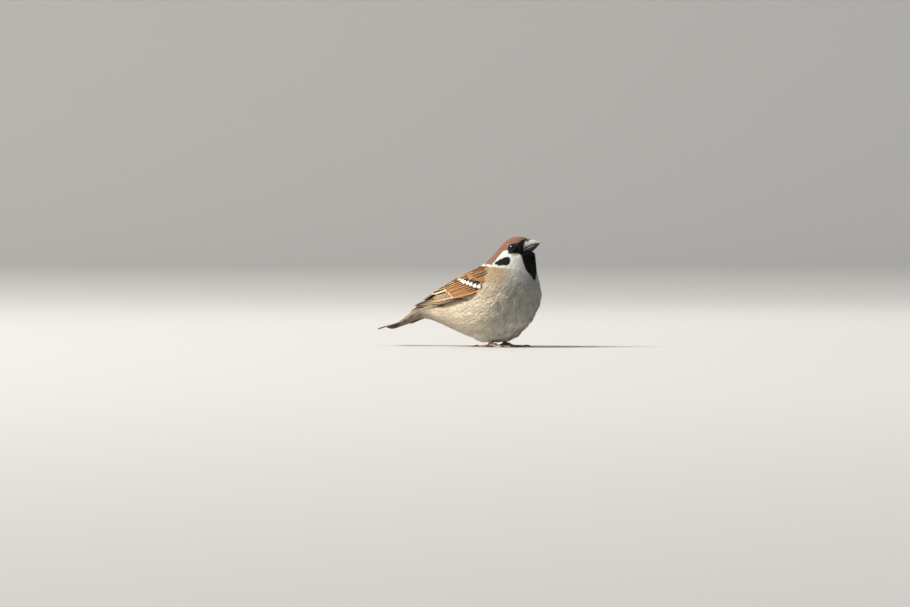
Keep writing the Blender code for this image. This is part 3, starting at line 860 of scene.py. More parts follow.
def wire(tree, shader, colour, height=None, strength=0.0, distance=0.0, invert=False):
    """Links a colour to the shader, and a height as a bump."""
    tree.links.new(colour, shader.inputs["Base Color"])
    if height is not None:
        bump = node(tree, "Bump", {"Height": height, "Strength": strength, "Distance": distance}, invert=invert)
        tree.links.new(bump.outputs[0], shader.inputs["Normal"])


# %% The group for barbs, shaft and down
def build_barbs():
    tree, given, out = new_group(
        "barbs",
        [("Colour", "c", (0.5, 0.5, 0.5, 1.0)), ("Across", "f", 0.5), ("Along", "f", 0.5),
         ("Count", "f", 30.0), ("Slant", "f", 1.2), ("Depth", "f", 0.3), ("Shaft", "f", 0.02), ("Down", "f", 0.3)],
        [("Colour", "c"), ("Height", "f")])
    off = sums(tree, "ABSOLUTE", sums(tree, "SUBTRACT", given["Across"], 0.5))
    slanted = sums(tree, "SUBTRACT", given["Along"], sums(tree, "MULTIPLY", off, given["Slant"]))
    counted = sums(tree, "MULTIPLY", slanted, given["Count"])
    where = node(tree, "CombineXYZ", {0: counted, 1: sums(tree, "MULTIPLY", off, 3.0)}).outputs[0]
    strand = node(tree, "TexNoise", {"Vector": where, "Scale": 1.0, "Detail": 2.0}).outputs["Fac"]
    line = sums(tree, "PINGPONG", counted, 0.5)
    both = sums(tree, "ADD", sums(tree, "MULTIPLY", line, 0.8), strand)
    darkest = sums(tree, "SUBTRACT", 1.0, given["Depth"])
    vane = shaded(tree, given["Colour"], ramp(tree, both, 0.35, 0.95, darkest, 1.12))
    shaft = ramp(tree, off, given["Shaft"], 0.0)
    with_shaft = blend(tree, sums(tree, "MULTIPLY", shaft, 0.5), vane, (0.40, 0.30, 0.20, 1.0))
    base = ramp(tree, given["Along"], given["Down"], 0.0)
    grey = blend(tree, 1.0, with_shaft, (0.42, 0.41, 0.42, 1.0), "MULTIPLY")
    tree.links.new(blend(tree, base, with_shaft, grey), out["Colour"])
    tree.links.new(sums(tree, "ADD", both, shaft), out["Height"])
    return tree


BARBS = build_barbs()


def with_barbs(tree, shader, colour, across, along, strength, distance, **values):
    """Draws barbs and a shaft over a feather's colour, and links it all to the shader."""
    barbs = node(tree, "Group", node_tree=BARBS)
    for key, value in values.items():
        barbs.inputs[key].default_value = value
    for key, value in (("Colour", colour), ("Across", across), ("Along", along)):
        tree.links.new(value, barbs.inputs[key])
    wire(tree, shader, barbs.outputs["Colour"], barbs.outputs["Height"], strength, distance)


def feather_map(tree):
    """Where a place lies across and along its feather, how far right of the shaft, and how far from it."""
    at = node(tree, "SeparateXYZ", {0: node(tree, "UVMap", uv_map="feather").outputs[0]}).outputs
    right = sums(tree, "SUBTRACT", at[0], 0.5)
    return at[0], at[1], right, sums(tree, "ABSOLUTE", right)


# %% The materials of the small feathers and of the skin
MATT = {"Roughness": 0.8, "Specular IOR Level": 0.12, "Sheen Weight": 0.03, "Sheen Roughness": 0.45}
STREAK = (0.018, 0.013, 0.010, 1.0)


def small_feather_material():
    made, tree, shader = new_material("small_feathers", MATT)
    tint, streak = painted(tree)
    across, along, _, off = feather_map(tree)
    core = sums(tree, "MULTIPLY", ramp(tree, off, 0.44, 0.30), streak)
    with_barbs(tree, shader, blend(tree, core, tint, STREAK), across, along, 0.25, 0.0001,
               Count=15.0, Depth=0.26, Shaft=0.02, Down=0.35)
    return made


def skin_material():
    """Grey down close to the body, in the colours of the plumage over it."""
    made, tree, shader = new_material("down", {**MATT, "Roughness": 0.85})
    fluff = node(tree, "TexNoise", {"Vector": on_object(tree), "Scale": 2600.0, "Detail": 3.0}).outputs["Fac"]
    shade = ramp(tree, fluff, 0.3, 0.7, 0.45, 0.95)
    wire(tree, shader, shaded(tree, painted(tree)[0], shade), fluff, 0.4, 0.0003)
    return made


SMALL_FEATHERS = small_feather_material()
finish_piece(skin, "skin", "body", skin_material(), *FLESH)

# %% [markdown]
# ## The coat
# Roots are kept off the eyes, the bill, the wings and the tail. The head has the smallest feathers and the
# closest spacing. Each feather takes its colour from the markings under its tip, a little lighter or darker
# than its neighbour. The breast is ruffled: a slow random field lifts some clumps, as on a bird in the wind.

# %% Choosing the roots
WINGS = ("wing_left", "wing_right")
BILL_CLEAR, BILL_CLEAR_BASE = 0.35, 0.6         # mm kept free round the bill, and how much more at its base
EYE_CLEAR, LEG_CLEAR, LEG_TOP = 2.6, 1.2, 12.0  # mm kept free round the eye and round the bare leg, and its top
WING_CLEAR, WING_OVER = 0.45, 1.2               # mm from the wing to the roots, and to the tips
TAIL_CLEAR = -65.0      # x in mm where the coat ends
# where the folded wings end at the back, in side view, and their lower edge
WING_CREST = ((6.0, 52.0), (-3.0, 53.4), (-12.0, 54.4), (-21.0, 50.8), (-30.0, 46.4), (-38.0, 42.6), (-46.0, 38.8),
              (-54.0, 35.0), (-60.0, 32.2), (-80.0, 24.0))
WING_HEM = ((-28.0, 31.6), (-37.0, 29.8), (-45.0, 28.6), (-53.0, 28.0), (-60.0, 27.6))


def bill_base(x):
    """From 0 on the free part of the bill to 1 at its base."""
    return np.clip((24.5 - x) / 5.0, 0.0, 1.0)


def off_wings(roots):
    """Which feathers neither grow in a folded wing nor end over it. Those above its crest all stay."""
    x, _, z = in_mm(roots).T
    lie, form = guided(roots)
    tips = roots + unit(lie) * form[:, 1:2] * MM
    tip_x, tip_out, tip_z = in_mm(tips).T
    over = (distance_to(WINGS, tips) < WING_OVER * MM) & (x < -6.0)
    over |= ((tip_x < -30.0) & (tip_out > 5.5) & (tip_z > read(WING_HEM, tip_x)) & (tip_z < read(WING_CREST, tip_x)))
    over &= x > -52.0
    return ((distance_to(WINGS, roots) > WING_CLEAR * MM) & ~over) | (z > read(WING_CREST, x))


roots, root_normals = scatter(outline, 320000)
x, _, z = in_mm(roots).T
keep = distance_to(("bill_upper", "bill_lower"), roots) > (BILL_CLEAR + BILL_CLEAR_BASE * bill_base(x)) * MM
keep &= np.hypot(x - EYE[0], z - EYE[1]) > EYE_CLEAR
keep &= (distance_to(("shank_left", "shank_right"), roots) > LEG_CLEAR * MM) | (z > LEG_TOP)
keep &= off_wings(roots) & (x > TAIL_CLEAR)
roots, root_normals = roots[keep], root_normals[keep]
print(len(roots), "small feathers")


# %% Laying the coat, region by region
CHIN, CHIN_PROUD = (25.5, 0.0, 64.0), 1.3     # mm; the feathers under the bill stand out most
MIXED = (NEAT, LOOSE, WISPY)
SHORT, LONG = 2.0, 3.7              # mm: shorter feathers cover the face, and longer ones the body
BREAST = 4.0            # x in mm where the breast begins
SLOW_TURN, OWN_TURN = 0.15, 0.10    # how far feathers turn together and each on its own, as a slope
PROUD, OWN_LIFT, RUFFLE = 0.04, 0.05, 0.5       # mm that tips stand out: all, each, and in ruffled clumps
# the clump share paints raised clumps on the breast lighter and sunken ones darker, as painted light and shade
OWN_LENGTH, OWN_SHADE, CLUMP_LIGHT_AND_SHADE = 0.09, 0.07, 0.2    # shares by which feathers differ
STREAK_GAP = 2.9        # mm between two rows of streaks on the back


def wavy(points, scale, seed):
    """A slow random field over space, about 0 on average, from a few sine waves."""
    rng = np.random.default_rng(seed)
    total = np.zeros(len(points))
    for _ in range(7):
        way = unit(rng.normal(size=3)) / scale
        total += np.sin(points @ way * 2 * math.pi + rng.random() * 6.3)
    return total / 7 ** 0.5


def prepare(roots, normals, tree=None):
    """Everything that the feathers at these roots need, in one table."""
    mm = in_mm(roots)
    lies, forms = guided(roots)
    turn = wavy(mm, 9.0, 3)[:, None] * SLOW_TURN + RNG.normal(size=(len(roots), 1)) * OWN_TURN
    lies = unit(lies) + np.cross(normals, unit(lies)) * turn
    ruffled = np.clip(mm[:, 0] / 14.0, 0.0, 1.0) * np.clip((50.0 - mm[:, 2]) / 10.0, 0.0, 1.0)
    clump = wavy(mm * (1, 1, 0.6), 5.0, 11)
    lift = (RNG.normal(size=len(roots)) * OWN_LIFT + PROUD + ruffled * np.clip(clump, -0.4, 1.4) * RUFFLE) * MM
    lift += np.exp(-((mm - CHIN) ** 2 / (3.0, 4.0, 3.0)).sum(1) / 3.0) * CHIN_PROUD * MM
    stretch = 1.0 + RNG.normal(size=len(roots)) * OWN_LENGTH
    sizes = np.stack((forms[:, 0], forms[:, 1] * stretch, forms[:, 2]), 1) * MM
    ahead = unit(lies - normals * (lies * normals).sum(1, keepdims=True))
    colours = plumage(roots + ahead * sizes[:, 1:2] * 0.75)
    # raised clumps of the ruffled breast are painted lighter and sunken ones darker: painted light and shade that
    # follows the ruffle
    shade = 1.0 + RNG.normal(size=len(roots)) * OWN_SHADE + ruffled * np.clip(clump, -1.0, 1.0) * CLUMP_LIGHT_AND_SHADE
    colours[:, :3] *= np.clip(shade, 0.6, 1.3)[:, None]
    column = (mm[:, 1] / STREAK_GAP + 0.15 * clump) % 1.0
    colours[:, 3] = (column < 0.5) & (colours[:, 3] > 0.3) & (RNG.random(len(roots)) < 0.9)
    maps = skin_map[[skin_tree.find_nearest(p)[2] for p in roots.tolist()]]
    return {"roots": roots, "normals": normals, "lies": lies, "sizes": sizes, "lift": lift,
            "colours": colours, "maps": maps, "tree": tree}


def batch(master, table, which):
    """Laid feathers of one pattern, ready to be joined."""
    given = [table[key][which] for key in ("roots", "normals", "lies", "sizes", "lift")]
    laid, fits = lay_small(master[0], *given, table["tree"])
    return laid[fits], master, table["colours"][which][fits], table["maps"][which][fits]


coat = prepare(roots, root_normals)
length = coat["sizes"][:, 1] / MM
front = in_mm(roots)[:, 0] > BREAST
share = (RNG.random(len(roots)) * len(MIXED)).astype(int)
right = roots[:, 1] < 0
build_coat("coat_face", "crown", [batch(SMALL, coat, length < SHORT)])
for part, slot, chosen in (
    ("head", "crown", (length >= SHORT) & (length < LONG)),
    ("breast", "body", (length >= LONG) & front),
    ("flank", "body", (length >= LONG) & ~front),
):
    for side, sign in SIDES:
        here = chosen & (right == (sign < 0))
        batches = [batch(master, coat, here & (share == k)) for k, master in enumerate(MIXED)]
        build_coat("coat_%s_%s" % (part, side), slot, batches)

# %% The back and rump under the wings
under, under_normals = scatter(skin, 60000)
x = in_mm(under)[:, 0]
UNDER_WING, RUMP_END = 3.2, -62.0       # mm from a wing within which the skin is covered, and x where it ends
keep = (distance_to(WINGS, under) < UNDER_WING * MM) & (x < SKIN_WING + 1.0) & (x > RUMP_END)
hidden = prepare(under[keep], under_normals[keep], skin_tree)
hidden["lift"] += hidden["sizes"][:, 0] * 0.5
build_coat("coat_rump", "body", [batch(LOOSE, hidden, slice(None))])

# %% [markdown]
# ## The large feathers
# The wing is a fan of long quills that slide under each other when it folds. The flight feathers lie lowest, the
# broad inner ones over them, and then rows of coverts, each row over the roots of the one behind. They could be
# cut from one shell, but single quills give the true steps and edges. A quill is modelled, thin and closed, and
# every large feather is a copy that is bent onto the wing's or the tail's own surface. Blunter and shorter
# quills serve for the tail and for the coverts.

# %% Modelling the quills
RELIEF, THICK = 0.10, 0.07          # of the shaft and of the vane, in half widths
# how far out in half widths the tip is rounded, and by how much it goes back and down there
ROUNDING = ((0.002, 0.004, 0.05), (0.4, 0.010, 0.0), (0.6, 0.014, 0.0), (0.9, 0.016, 0.0))


def model_quill(name, widths):
    """A closed, thin feather from its root at zero to its tip at one, with its shaft raised."""
    item = vane_grid(8, widths, RELIEF)
    mesh = item.data
    for reach, back, sink in ROUNDING:
        choose(mesh, "VERT", lambda co: co.y > 0.95 and abs(co.x) > reach * widths[-1])
        bpy.ops.transform.translate(value=(0.0, -back, -sink))
    bpy.ops.object.mode_set(mode="OBJECT")
    apply_modifier(item, "SOLIDIFY", thickness=THICK, offset=-1.0)
    points, faces = triangles(item, name)
    uv = np.zeros(len(mesh.loops) * 2, np.float32)
    mesh.uv_layers[0].data.foreach_get("uv", uv)
    local = np.zeros((len(points), 2))
    local[[corner.vertex_index for corner in mesh.loops]] = uv.reshape(-1, 2)
    bpy.data.objects.remove(item)
    return points, faces, local


QUILL = model_quill("quill", (0.22, 0.42, 0.60, 0.74, 0.84, 0.91, 0.96, 0.99, 1.0, 1.0, 0.99, 0.97, 0.94, 0.89, 0.81,
                              0.68, 0.50, 0.22))
RECTRIX = model_quill("rectrix", (0.5, 0.66, 0.78, 0.86, 0.92, 0.96, 0.98, 1.0, 1.0, 1.0, 1.0, 1.0, 0.99, 0.98, 0.97,
                                  0.94, 0.86, 0.58))
COVERT = model_quill("covert", (0.3, 0.62, 0.84, 0.96, 1.0, 1.0, 1.0, 0.96, 0.86, 0.56))

# %% The surfaces they lie on
# the upper edge (x, out, z), the lower edge (x, out, z), thickness and bow of the folded wing, in mm
WING = np.array((
    (3.0, 14.8, 48.0, 4.0, 17.0, 44.5, 1.4, 0.3),
    (0.0, 12.0, 51.2, 3.0, 20.8, 40.0, 2.4, 2.0),
    (-5.0, 10.0, 53.8, -1.0, 23.0, 37.4, 3.2, 3.4),
    (-12.0, 8.4, 54.2, -8.5, 23.8, 35.4, 3.6, 4.0),
    (-21.0, 7.0, 50.6, -18.0, 23.4, 33.0, 3.6, 3.9),
    (-30.0, 5.8, 46.4, -28.0, 21.4, 31.0, 3.4, 3.5),
    (-38.0, 4.8, 42.6, -37.0, 18.4, 29.2, 3.0, 2.8),
    (-46.0, 3.8, 38.8, -45.0, 14.4, 27.8, 2.5, 2.0),
    (-54.0, 3.0, 35.0, -53.0, 10.4, 26.8, 2.0, 1.2),
    (-61.0, 2.6, 31.7, -60.0, 7.0, 26.4, 1.4, 0.6),
    (-66.5, 2.8, 29.0, -66.0, 4.2, 27.4, 0.8, 0.2),
    (-72.0, 2.9, 26.4, -71.6, 3.2, 25.6, 0.6, 0.1),
))
RIPPLE = 0.03           # how much the edges of a large feather wave, in half widths


def sheet_tree(grid):
    """A surface through a grid of places in millimetres."""
    rows, columns = grid.shape[:2]
    points = [place(*p) for p in grid.reshape(-1, 3)]
    quads = [(i * columns + j, i * columns + j + 1, (i + 1) * columns + j + 1, (i + 1) * columns + j)
             for i in range(rows - 1) for j in range(columns - 1)]
    return BVHTree.FromPolygons(points, quads)


def wing_sheet(sign):
    """The outside of a folded wing, carried on a little past its edges."""
    steps = np.linspace(0, len(WING) - 1, 67)
    rows = np.stack([np.interp(steps, range(len(WING)), column) for column in WING.T], 1)
    for _ in range(6):
        rows[1:-1] = (rows[:-2] + 2 * rows[1:-1] + rows[2:]) / 4
    v = np.linspace(-0.25, 1.2, 30)[None, :, None]
    upper, lower = rows[:, None, 0:3], rows[:, None, 3:6]
    chord = lower - upper
    outward = unit(np.concatenate((0 * chord[..., :1], np.abs(chord[..., 2:]), chord[..., 1:2]), -1))
    swell = np.sin(np.pi * v)
    wall = 0.2 + (rows[:, None, 6:7] / 2 - 0.3) * np.clip(swell, 0.0, 1.0) ** 0.5
    grid = upper + chord * v + outward * (rows[:, None, 7:8] * swell + wall)
    return grid * (1.0, sign, 1.0)


def tail_sheet():
    t, side = np.meshgrid(np.linspace(-0.1, 1.06, 40), np.linspace(-1.25, 1.25, 21), indexing="ij")
    x = TAIL_BASE[0] + (TAIL_TIP[0] - TAIL_BASE[0]) * t
    return np.stack((x, tail_half(t) * side, tail_height(x, side)), -1)


def side_spot(tree, x, z, sign):
    """The place on a surface that lies at x and z when the bird is seen from its side."""
    hit = tree.ray_cast(place(x, sign * 60.0, z), Vector((0.0, -sign, 0.0)))[0]
    return np.array((hit or tree.find_nearest(place(x, sign * 8.0, z))[0])[:])


def lay_large(master, tree, root, tip, sign, half, heights, bend, tilt):
    """One quill bent onto a surface, from a root to a tip in side view: half width and the rest in metres."""
    root, tip = side_spot(tree, *root, sign), side_spot(tree, *tip, sign)
    u, v, w = master[0].T
    straight = tip - root
    normal = nearest(tree, (root + tip)[None] / 2)[1][0]
    if normal @ np.array((0.0, sign, 0.6)) < 0:
        normal = -normal
    down = unit(np.cross(straight, normal) * sign)
    centre = root + straight * v[:, None] + down * (bend * 4.0 * v * (1.0 - v))[:, None]
    wave = 1.0 + RIPPLE * np.sin(v * (9 + 5 * RNG.random()) + RNG.random() * 6)
    base, up = nearest(tree, centre + down * (u * half * wave)[:, None])
    up *= np.sign(up @ np.array((0.0, sign, 0.6)))[:, None]
    curl = w + tilt * u * np.clip(v * 4, 0.0, 1.0) - 0.10 * u * u
    return base + up * (heights[0] + (heights[1] - heights[0]) * v + half * curl)[:, None]


sheets = {side: sheet_tree(wing_sheet(sign)) for side, sign in SIDES}
tail_tree = sheet_tree(tail_sheet())
print("wing and tail surfaces ready")

# %% The rows of the wing
DARK = (0.016, 0.011, 0.008)
RUFOUS = (0.39, 0.178, 0.058)
BUFF = (0.42, 0.275, 0.145)
CREAM = (0.64, 0.51, 0.33)
SNOW = (0.72, 0.67, 0.59)
PALE_EDGE = (0.43, 0.30, 0.175)
# Each row: its name, how many, roots and tips (x, z) of its first and last feather, half widths, height at
# root and tip, bend and tilt, then three colours with a number each: the vane and how far it reaches to the
# side, the edge and how much it keeps to the outer side, the tip and where it starts.
ROWS = (
    ("primaries", 10, (-18.0, 39.5), (-11.0, 35.6), (-48.0, 33.2), (-66.8, 28.3), (1.9, 1.5), (-0.6, 0.0), 1.5, 0.16,
     (DARK, 0.40), (BUFF, 1.0), (BUFF, 0.985)),
    ("secondaries", 6, (-18.0, 41.0), (-13.0, 38.2), (-44.5, 35.6), (-49.0, 31.2), (2.1, 1.9), (-0.5, 0.2), 0.8, 0.16,
     (DARK, 0.16), (PALE_EDGE, 1.0), (CREAM, 0.95)),
    ("tertials", 3, (-24.0, 47.6), (-20.0, 43.4), (-39.5, 41.4), (-50.0, 36.0), (3.0, 3.4), (-0.2, 0.7), 0.0, 0.14,
     (DARK, 0.31), (CREAM, 0.0), (CREAM, 0.94)),
    ("primary_coverts", 4, (-4.0, 38.9), (-1.0, 37.8), (-20.0, 35.6), (-17.0, 34.2), (1.3, 1.1), (-0.4, 0.1),
     0.2, 0.2, (DARK, 0.38), (BUFF, 0.6), (BUFF, 0.97)),
    ("greater_coverts", 9, (-22.0, 47.6), (-1.0, 40.8), (-38.0, 41.0), (-25.5, 34.6), (2.1, 2.0), (-0.3, 0.45),
     0.0, 0.2, (DARK, 0.13), (RUFOUS, 0.0), (CREAM, 0.91)),
    ("lesser_coverts", 9, (-13.0, 52.0), (3.6, 47.0), (-19.5, 49.8), (-1.6, 44.9), (1.8, 1.6), (0.35, 1.15), 0.0, 0.2,
     (np.array(RUFOUS) * 0.75, 0.4), (RUFOUS, 1.0), (RUFOUS, 0.9)),
    ("median_coverts", 8, (-18.5, 50.2), (1.5, 44.4), (-26.0, 47.2), (-5.0, 42.0), (2.6, 2.35), (0.0, 0.8), 0.0, 0.2,
     (DARK, 0.42), (RUFOUS, 0.0), (SNOW, 0.60)),
)
TIP_SPREAD = (0.35, 0.12)           # mm in x and z by which the tips of wing feathers differ


def along_row(count, r0, r1, t0, t1, spread):
    """How far along a row each of its feathers grows, with its root and its tip in side view."""
    for k in range(count):
        at = k / (count - 1)
        root = np.array(r0) + (np.array(r1) - r0) * at
        tip = np.array(t0) + (np.array(t1) - t0) * at + RNG.normal(size=2) * spread
        yield at, root, tip


def wing_feathers(side, sign):
    """Lays every feather of one wing."""
    laid = []
    for name, count, r0, r1, t0, t1, halves, heights, bend, tilt, *colours in ROWS:
        master = COVERT if name.endswith("coverts") else QUILL
        for at, root, tip in along_row(count, r0, r1, t0, t1, TIP_SPREAD):
            half = (halves[0] + (halves[1] - halves[0]) * at) * MM
            points = lay_large(master, sheets[side], root, tip, sign, half, np.array(heights) * MM,
                               bend * MM * (0.4 + 0.6 * at), tilt)
            shade = 1.0 + RNG.normal() * OWN_SHADE
            laid.append((points, master, [(np.array(colour) * shade, amount) for colour, amount in colours]))
    return laid


def build_large(name, slot, laid, *replaced):
    """Joins laid quills in one object, with three painted colours and one bake patch for each."""
    parts, tints = [], {"vane": [], "edge": [], "end": []}
    columns = math.ceil(math.sqrt(len(laid) * 4.0))
    rows = math.ceil(len(laid) / columns)
    for k, (points, (_, faces, local), colours) in enumerate(laid):
        corner = np.array((k % columns, k // columns)) + 0.04
        parts.append((points, faces, local, (corner + local * 0.92) / (columns, rows)))
        for label, (colour, amount) in zip(tints, colours):
            tints[label].append(np.tile((*colour, amount), (len(points), 1)))
    item = feather_object(name, parts, tints)
    with editing(item):
        bpy.ops.mesh.normals_make_consistent(inside=False)
    bpy.ops.object.shade_smooth_by_angle(angle=math.radians(50))
    finish_piece(item, name, slot, QUILLS, *replaced)


# %% The finish of the large feathers
def large_feather_material():
    """The vane, its edge and its tip in their own colours, with barbs and a shaft over them."""
    made, tree, shader = new_material("quills", {**MATT, "Roughness": 0.65, "Specular IOR Level": 0.16})
    (vane, reaches), (edge, keeps), (end, starts) = (painted(tree, label) for label in ("vane", "edge", "end"))
    across, along, right, off = feather_map(tree)
    rough = node(tree, "TexNoise", {"Vector": on_object(tree), "Scale": 900.0, "Detail": 2.0}).outputs["Fac"]
    jitter = sums(tree, "MULTIPLY", sums(tree, "SUBTRACT", rough, 0.5), 0.10)
    outer = node(tree, "Mix", {0: keeps, 2: off, 3: right}, data_type="FLOAT").outputs[0]
    mask = ramp(tree, sums(tree, "ADD", outer, jitter), reaches, sums(tree, "ADD", reaches, 0.05), kind="LINEAR")
    edged = blend(tree, mask, vane, edge)
    rounded = sums(tree, "ADD", sums(tree, "ADD", along, sums(tree, "MULTIPLY", off, -0.12)), jitter)
    mask = ramp(tree, rounded, starts, sums(tree, "ADD", starts, 0.02), kind="LINEAR")
    with_barbs(tree, shader, blend(tree, mask, edged, end), across, along, 0.35, 0.00012,
               Count=55.0, Slant=0.35, Depth=0.22, Shaft=0.03, Down=0.02)
    return made


QUILLS = large_feather_material()
for side, sign in SIDES:
    build_large("wing_%s_feathers" % side, "wings", wing_feathers(side, sign), "wing_" + side)

# %% [markdown]
# ## The shoulder feathers and the tail
# Three rows of broad scapulars fall from the shoulder over the top of the wing and carry the boldest streaks.
# They lie on the outline, and not on the wing. The folded tail is twelve quills, the middle pair on top and each
# next one a little lower and further out.

# %% Scapulars
# roots and tips (x, z) of a row's first and last feather, how many, half width, height at root and tip, mm
SCAPULARS = (
    ((1.0, 52.2), (-14.0, 51.8), (-9.0, 46.6), (-25.0, 47.6), 5, 2.2, (1.3, 1.9)),
    ((0.5, 53.8), (-19.0, 50.2), (-10.5, 48.8), (-32.0, 45.0), 7, 2.2, (1.2, 1.8)),
    ((-2.0, 55.4), (-16.0, 52.0), (-12.0, 51.2), (-27.0, 47.6), 6, 2.1, (1.2, 1.8)),
)
SUNK = 1.3              # mm that the scapulars lie under those heights
for side, sign in SIDES:
    laid = []
    for r0, r1, t0, t1, count, half, heights in SCAPULARS:
        for k, (at, root, tip) in enumerate(along_row(count, r0, r1, t0, t1, 0.3)):
            points = lay_large(COVERT, bed_tree, root, tip, sign, half * MM,
                               np.array(heights) * MM - SUNK * MM, 0.0, 0.15)
            warm = np.array(RUFOUS) * 0.8 * (1.0 + RNG.normal() * 0.08)
            streaked = ((DARK, 0.25), (warm, 0.0), (BUFF, 0.95))
            pale = ((warm, 0.34), (np.array(CREAM) * 0.8, 1.0), (BUFF, 0.96))
            laid.append((points, COVERT, pale if k % 3 == 1 else streaked))
    build_large("scapulars_" + side, "wings", laid)

# %% Tail
FEATHER_HALF, FEATHER_THICK = 2.05, 1.95        # mm: half its width, and what its relief is measured in
TAIL_COLOURS = ((np.array((0.050, 0.037, 0.028)), 0.42), (np.array(BUFF) * 0.45, 0.3), (np.array(BUFF) * 0.6, 0.985))


def on_tail(x, y, z):
    return nearest(tail_tree, np.array([place(x, y, z)[:]]))[0][0]


laid = []
for side, sign in SIDES:
    for k in range(6):
        root = on_tail(-58.0, sign * (0.7 + 0.55 * k), 24.0)
        fork = 2.6 * math.sin(min(1.0, k / 3.2) * math.pi / 2)
        tip = on_tail(-91.4 - fork + 0.5 * max(0, k - 3), sign * (1.5 + 1.58 * k), 12.4)
        u, v, w = RECTRIX[0].T
        wave = 1.0 + 0.02 * np.sin(v * 14 + k)
        out = np.array((0.0, sign, 0.0)) * (u * FEATHER_HALF * MM * wave)[:, None]
        base, up = nearest(tail_tree, root + (tip - root) * v[:, None] + out)
        up *= np.sign(up[:, 2:3])
        height = (0.30 - 0.11 * k) * MM + FEATHER_THICK * MM * (w + 0.02 * u)
        laid.append((base + up * height[:, None], RECTRIX, TAIL_COLOURS))
build_large("tail_feathers", "tail", laid)

# %% [markdown]
# ## Eyes and lids
# The eye is dark brown and wet. A sphere with its front drawn out a little stands for the clear cornea, and the iris
# and the pupil are rings of colour round its axis. The lid is a narrow ring of bare, wrinkled skin. It begins as a
# torus, and its points are then moved onto the curve of the head, with a small corner towards the bill.

# %% The look of eyes and lids
PUPIL, IRIS = (1.15, 1.25), (1.80, 2.0)         # where each ends, mm from the eye's axis


def eye_material():
    made, tree, shader = new_material("eye", {"Roughness": 0.05, "Coat Weight": 0.2, "Coat Roughness": 0.01,
                                              "Specular IOR Level": 0.2})
    at = on_object(tree)
    centre = place(EYE[0], 0.0, EYE[1])
    centred = node(tree, "Mapping", {"Vector": at, "Location": (-centre.x, 0.0, -centre.z), "Scale": (1.0, 0.0, 1.0)})
    far = node(tree, "VectorMath", {0: centred.outputs[0]}, operation="LENGTH").outputs["Value"]
    grain = node(tree, "TexNoise", {"Vector": at, "Scale": 3000.0}).outputs["Fac"]
    iris = blend(tree, grain, (0.016, 0.007, 0.004, 1.0), (0.042, 0.018, 0.009, 1.0))
    past_pupil, past_iris = (ramp(tree, far, a * MM, b * MM, kind="LINEAR") for a, b in (PUPIL, IRIS))
    inner = blend(tree, past_pupil, (0.002, 0.002, 0.002, 1.0), iris)
    wire(tree, shader, blend(tree, past_iris, inner, (0.006, 0.004, 0.004, 1.0)))
    return made


def lid_material():
    made, tree, shader = new_material("eyelid", {"Roughness": 0.5, "Specular IOR Level": 0.22})
    beads = node(tree, "TexVoronoi", {"Vector": on_object(tree), "Scale": 3600.0}).outputs["Distance"]
    tone = blend(tree, beads, (0.026, 0.022, 0.021, 1.0), (0.007, 0.006, 0.006, 1.0))
    wire(tree, shader, tone, beads, 0.6, 0.00015, invert=True)
    return made


EYE_LOOK, LID_LOOK = eye_material(), lid_material()
print("the pupil is", 2 * PUPIL[0], "mm wide")

# %% Eyes
EYE_R = 3.1             # mm
EYE_OUT = 7.39          # mm from the middle plane to the centre of the eyeball
CORNEA = 2.55           # mm from that centre to where the front is drawn out
LID_R, LID_THICK = 2.32, 0.29       # mm
LID_SUNK = 0.20         # mm


def make_eyeball(sign):
    centre = place(EYE[0], sign * EYE_OUT, EYE[1])
    nothing_selected()
    bpy.ops.mesh.primitive_uv_sphere_add(segments=64, ring_count=32, radius=EYE_R * MM, location=centre,
                                         rotation=(math.radians(-90.0 * sign), 0.0, 0.0))
    ball = bpy.context.object
    freeze()
    choose(ball.data, "VERT", lambda co: sign * (co.y - centre.y) > CORNEA * MM)
    bpy.ops.transform.resize(value=(0.97, 1.0, 0.97))
    bpy.ops.transform.translate(value=(0.0, sign * 0.06 * MM, 0.0))
    bpy.ops.object.mode_set(mode="OBJECT")
    smooth(ball, 3)
    ball.data.shade_smooth()
    return ball


def make_eyelid(sign):
    centre = place(EYE[0], sign * EYE_OUT, EYE[1])
    nothing_selected()
    bpy.ops.mesh.primitive_torus_add(major_radius=LID_R * MM, minor_radius=LID_THICK * MM, major_segments=96,
                                     minor_segments=14, location=(0.0, 0.0, 0.0))
    lid = bpy.context.object
    points = numbers(lid.data)
    angle = np.arctan2(points[:, 1], points[:, 0])
    radius = np.hypot(points[:, 0], points[:, 1])
    corner = 1.0 + 0.13 * np.clip(np.cos(angle), 0.0, 1.0) ** 8 + 0.07 * np.clip(-np.cos(angle), 0.0, 1.0) ** 8
    folds = 1.0 + 0.10 * np.cos(angle * 22.0) * (radius > LID_R * MM)
    x = centre.x + radius * corner * np.cos(angle)
    z = centre.z + radius * corner * np.sin(angle) * 0.96
    head = [bed_tree.ray_cast(Vector((a, sign * 0.06, b)), Vector((0.0, -sign, 0.0)))[0].y for a, b in zip(x, z)]
    move(lid, np.stack((x, head + sign * (points[:, 2] * folds - LID_SUNK * MM), z), 1))
    with editing(lid):
        bpy.ops.mesh.normals_make_consistent(inside=False)
    lid.data.shade_smooth()
    return lid


for side, sign in SIDES:
    finish_piece(make_eyeball(sign), "eyeball_" + side, "eyes", EYE_LOOK, "eye_" + side)
    finish_piece(make_eyelid(sign), "eyelid_" + side, "eyes", LID_LOOK)
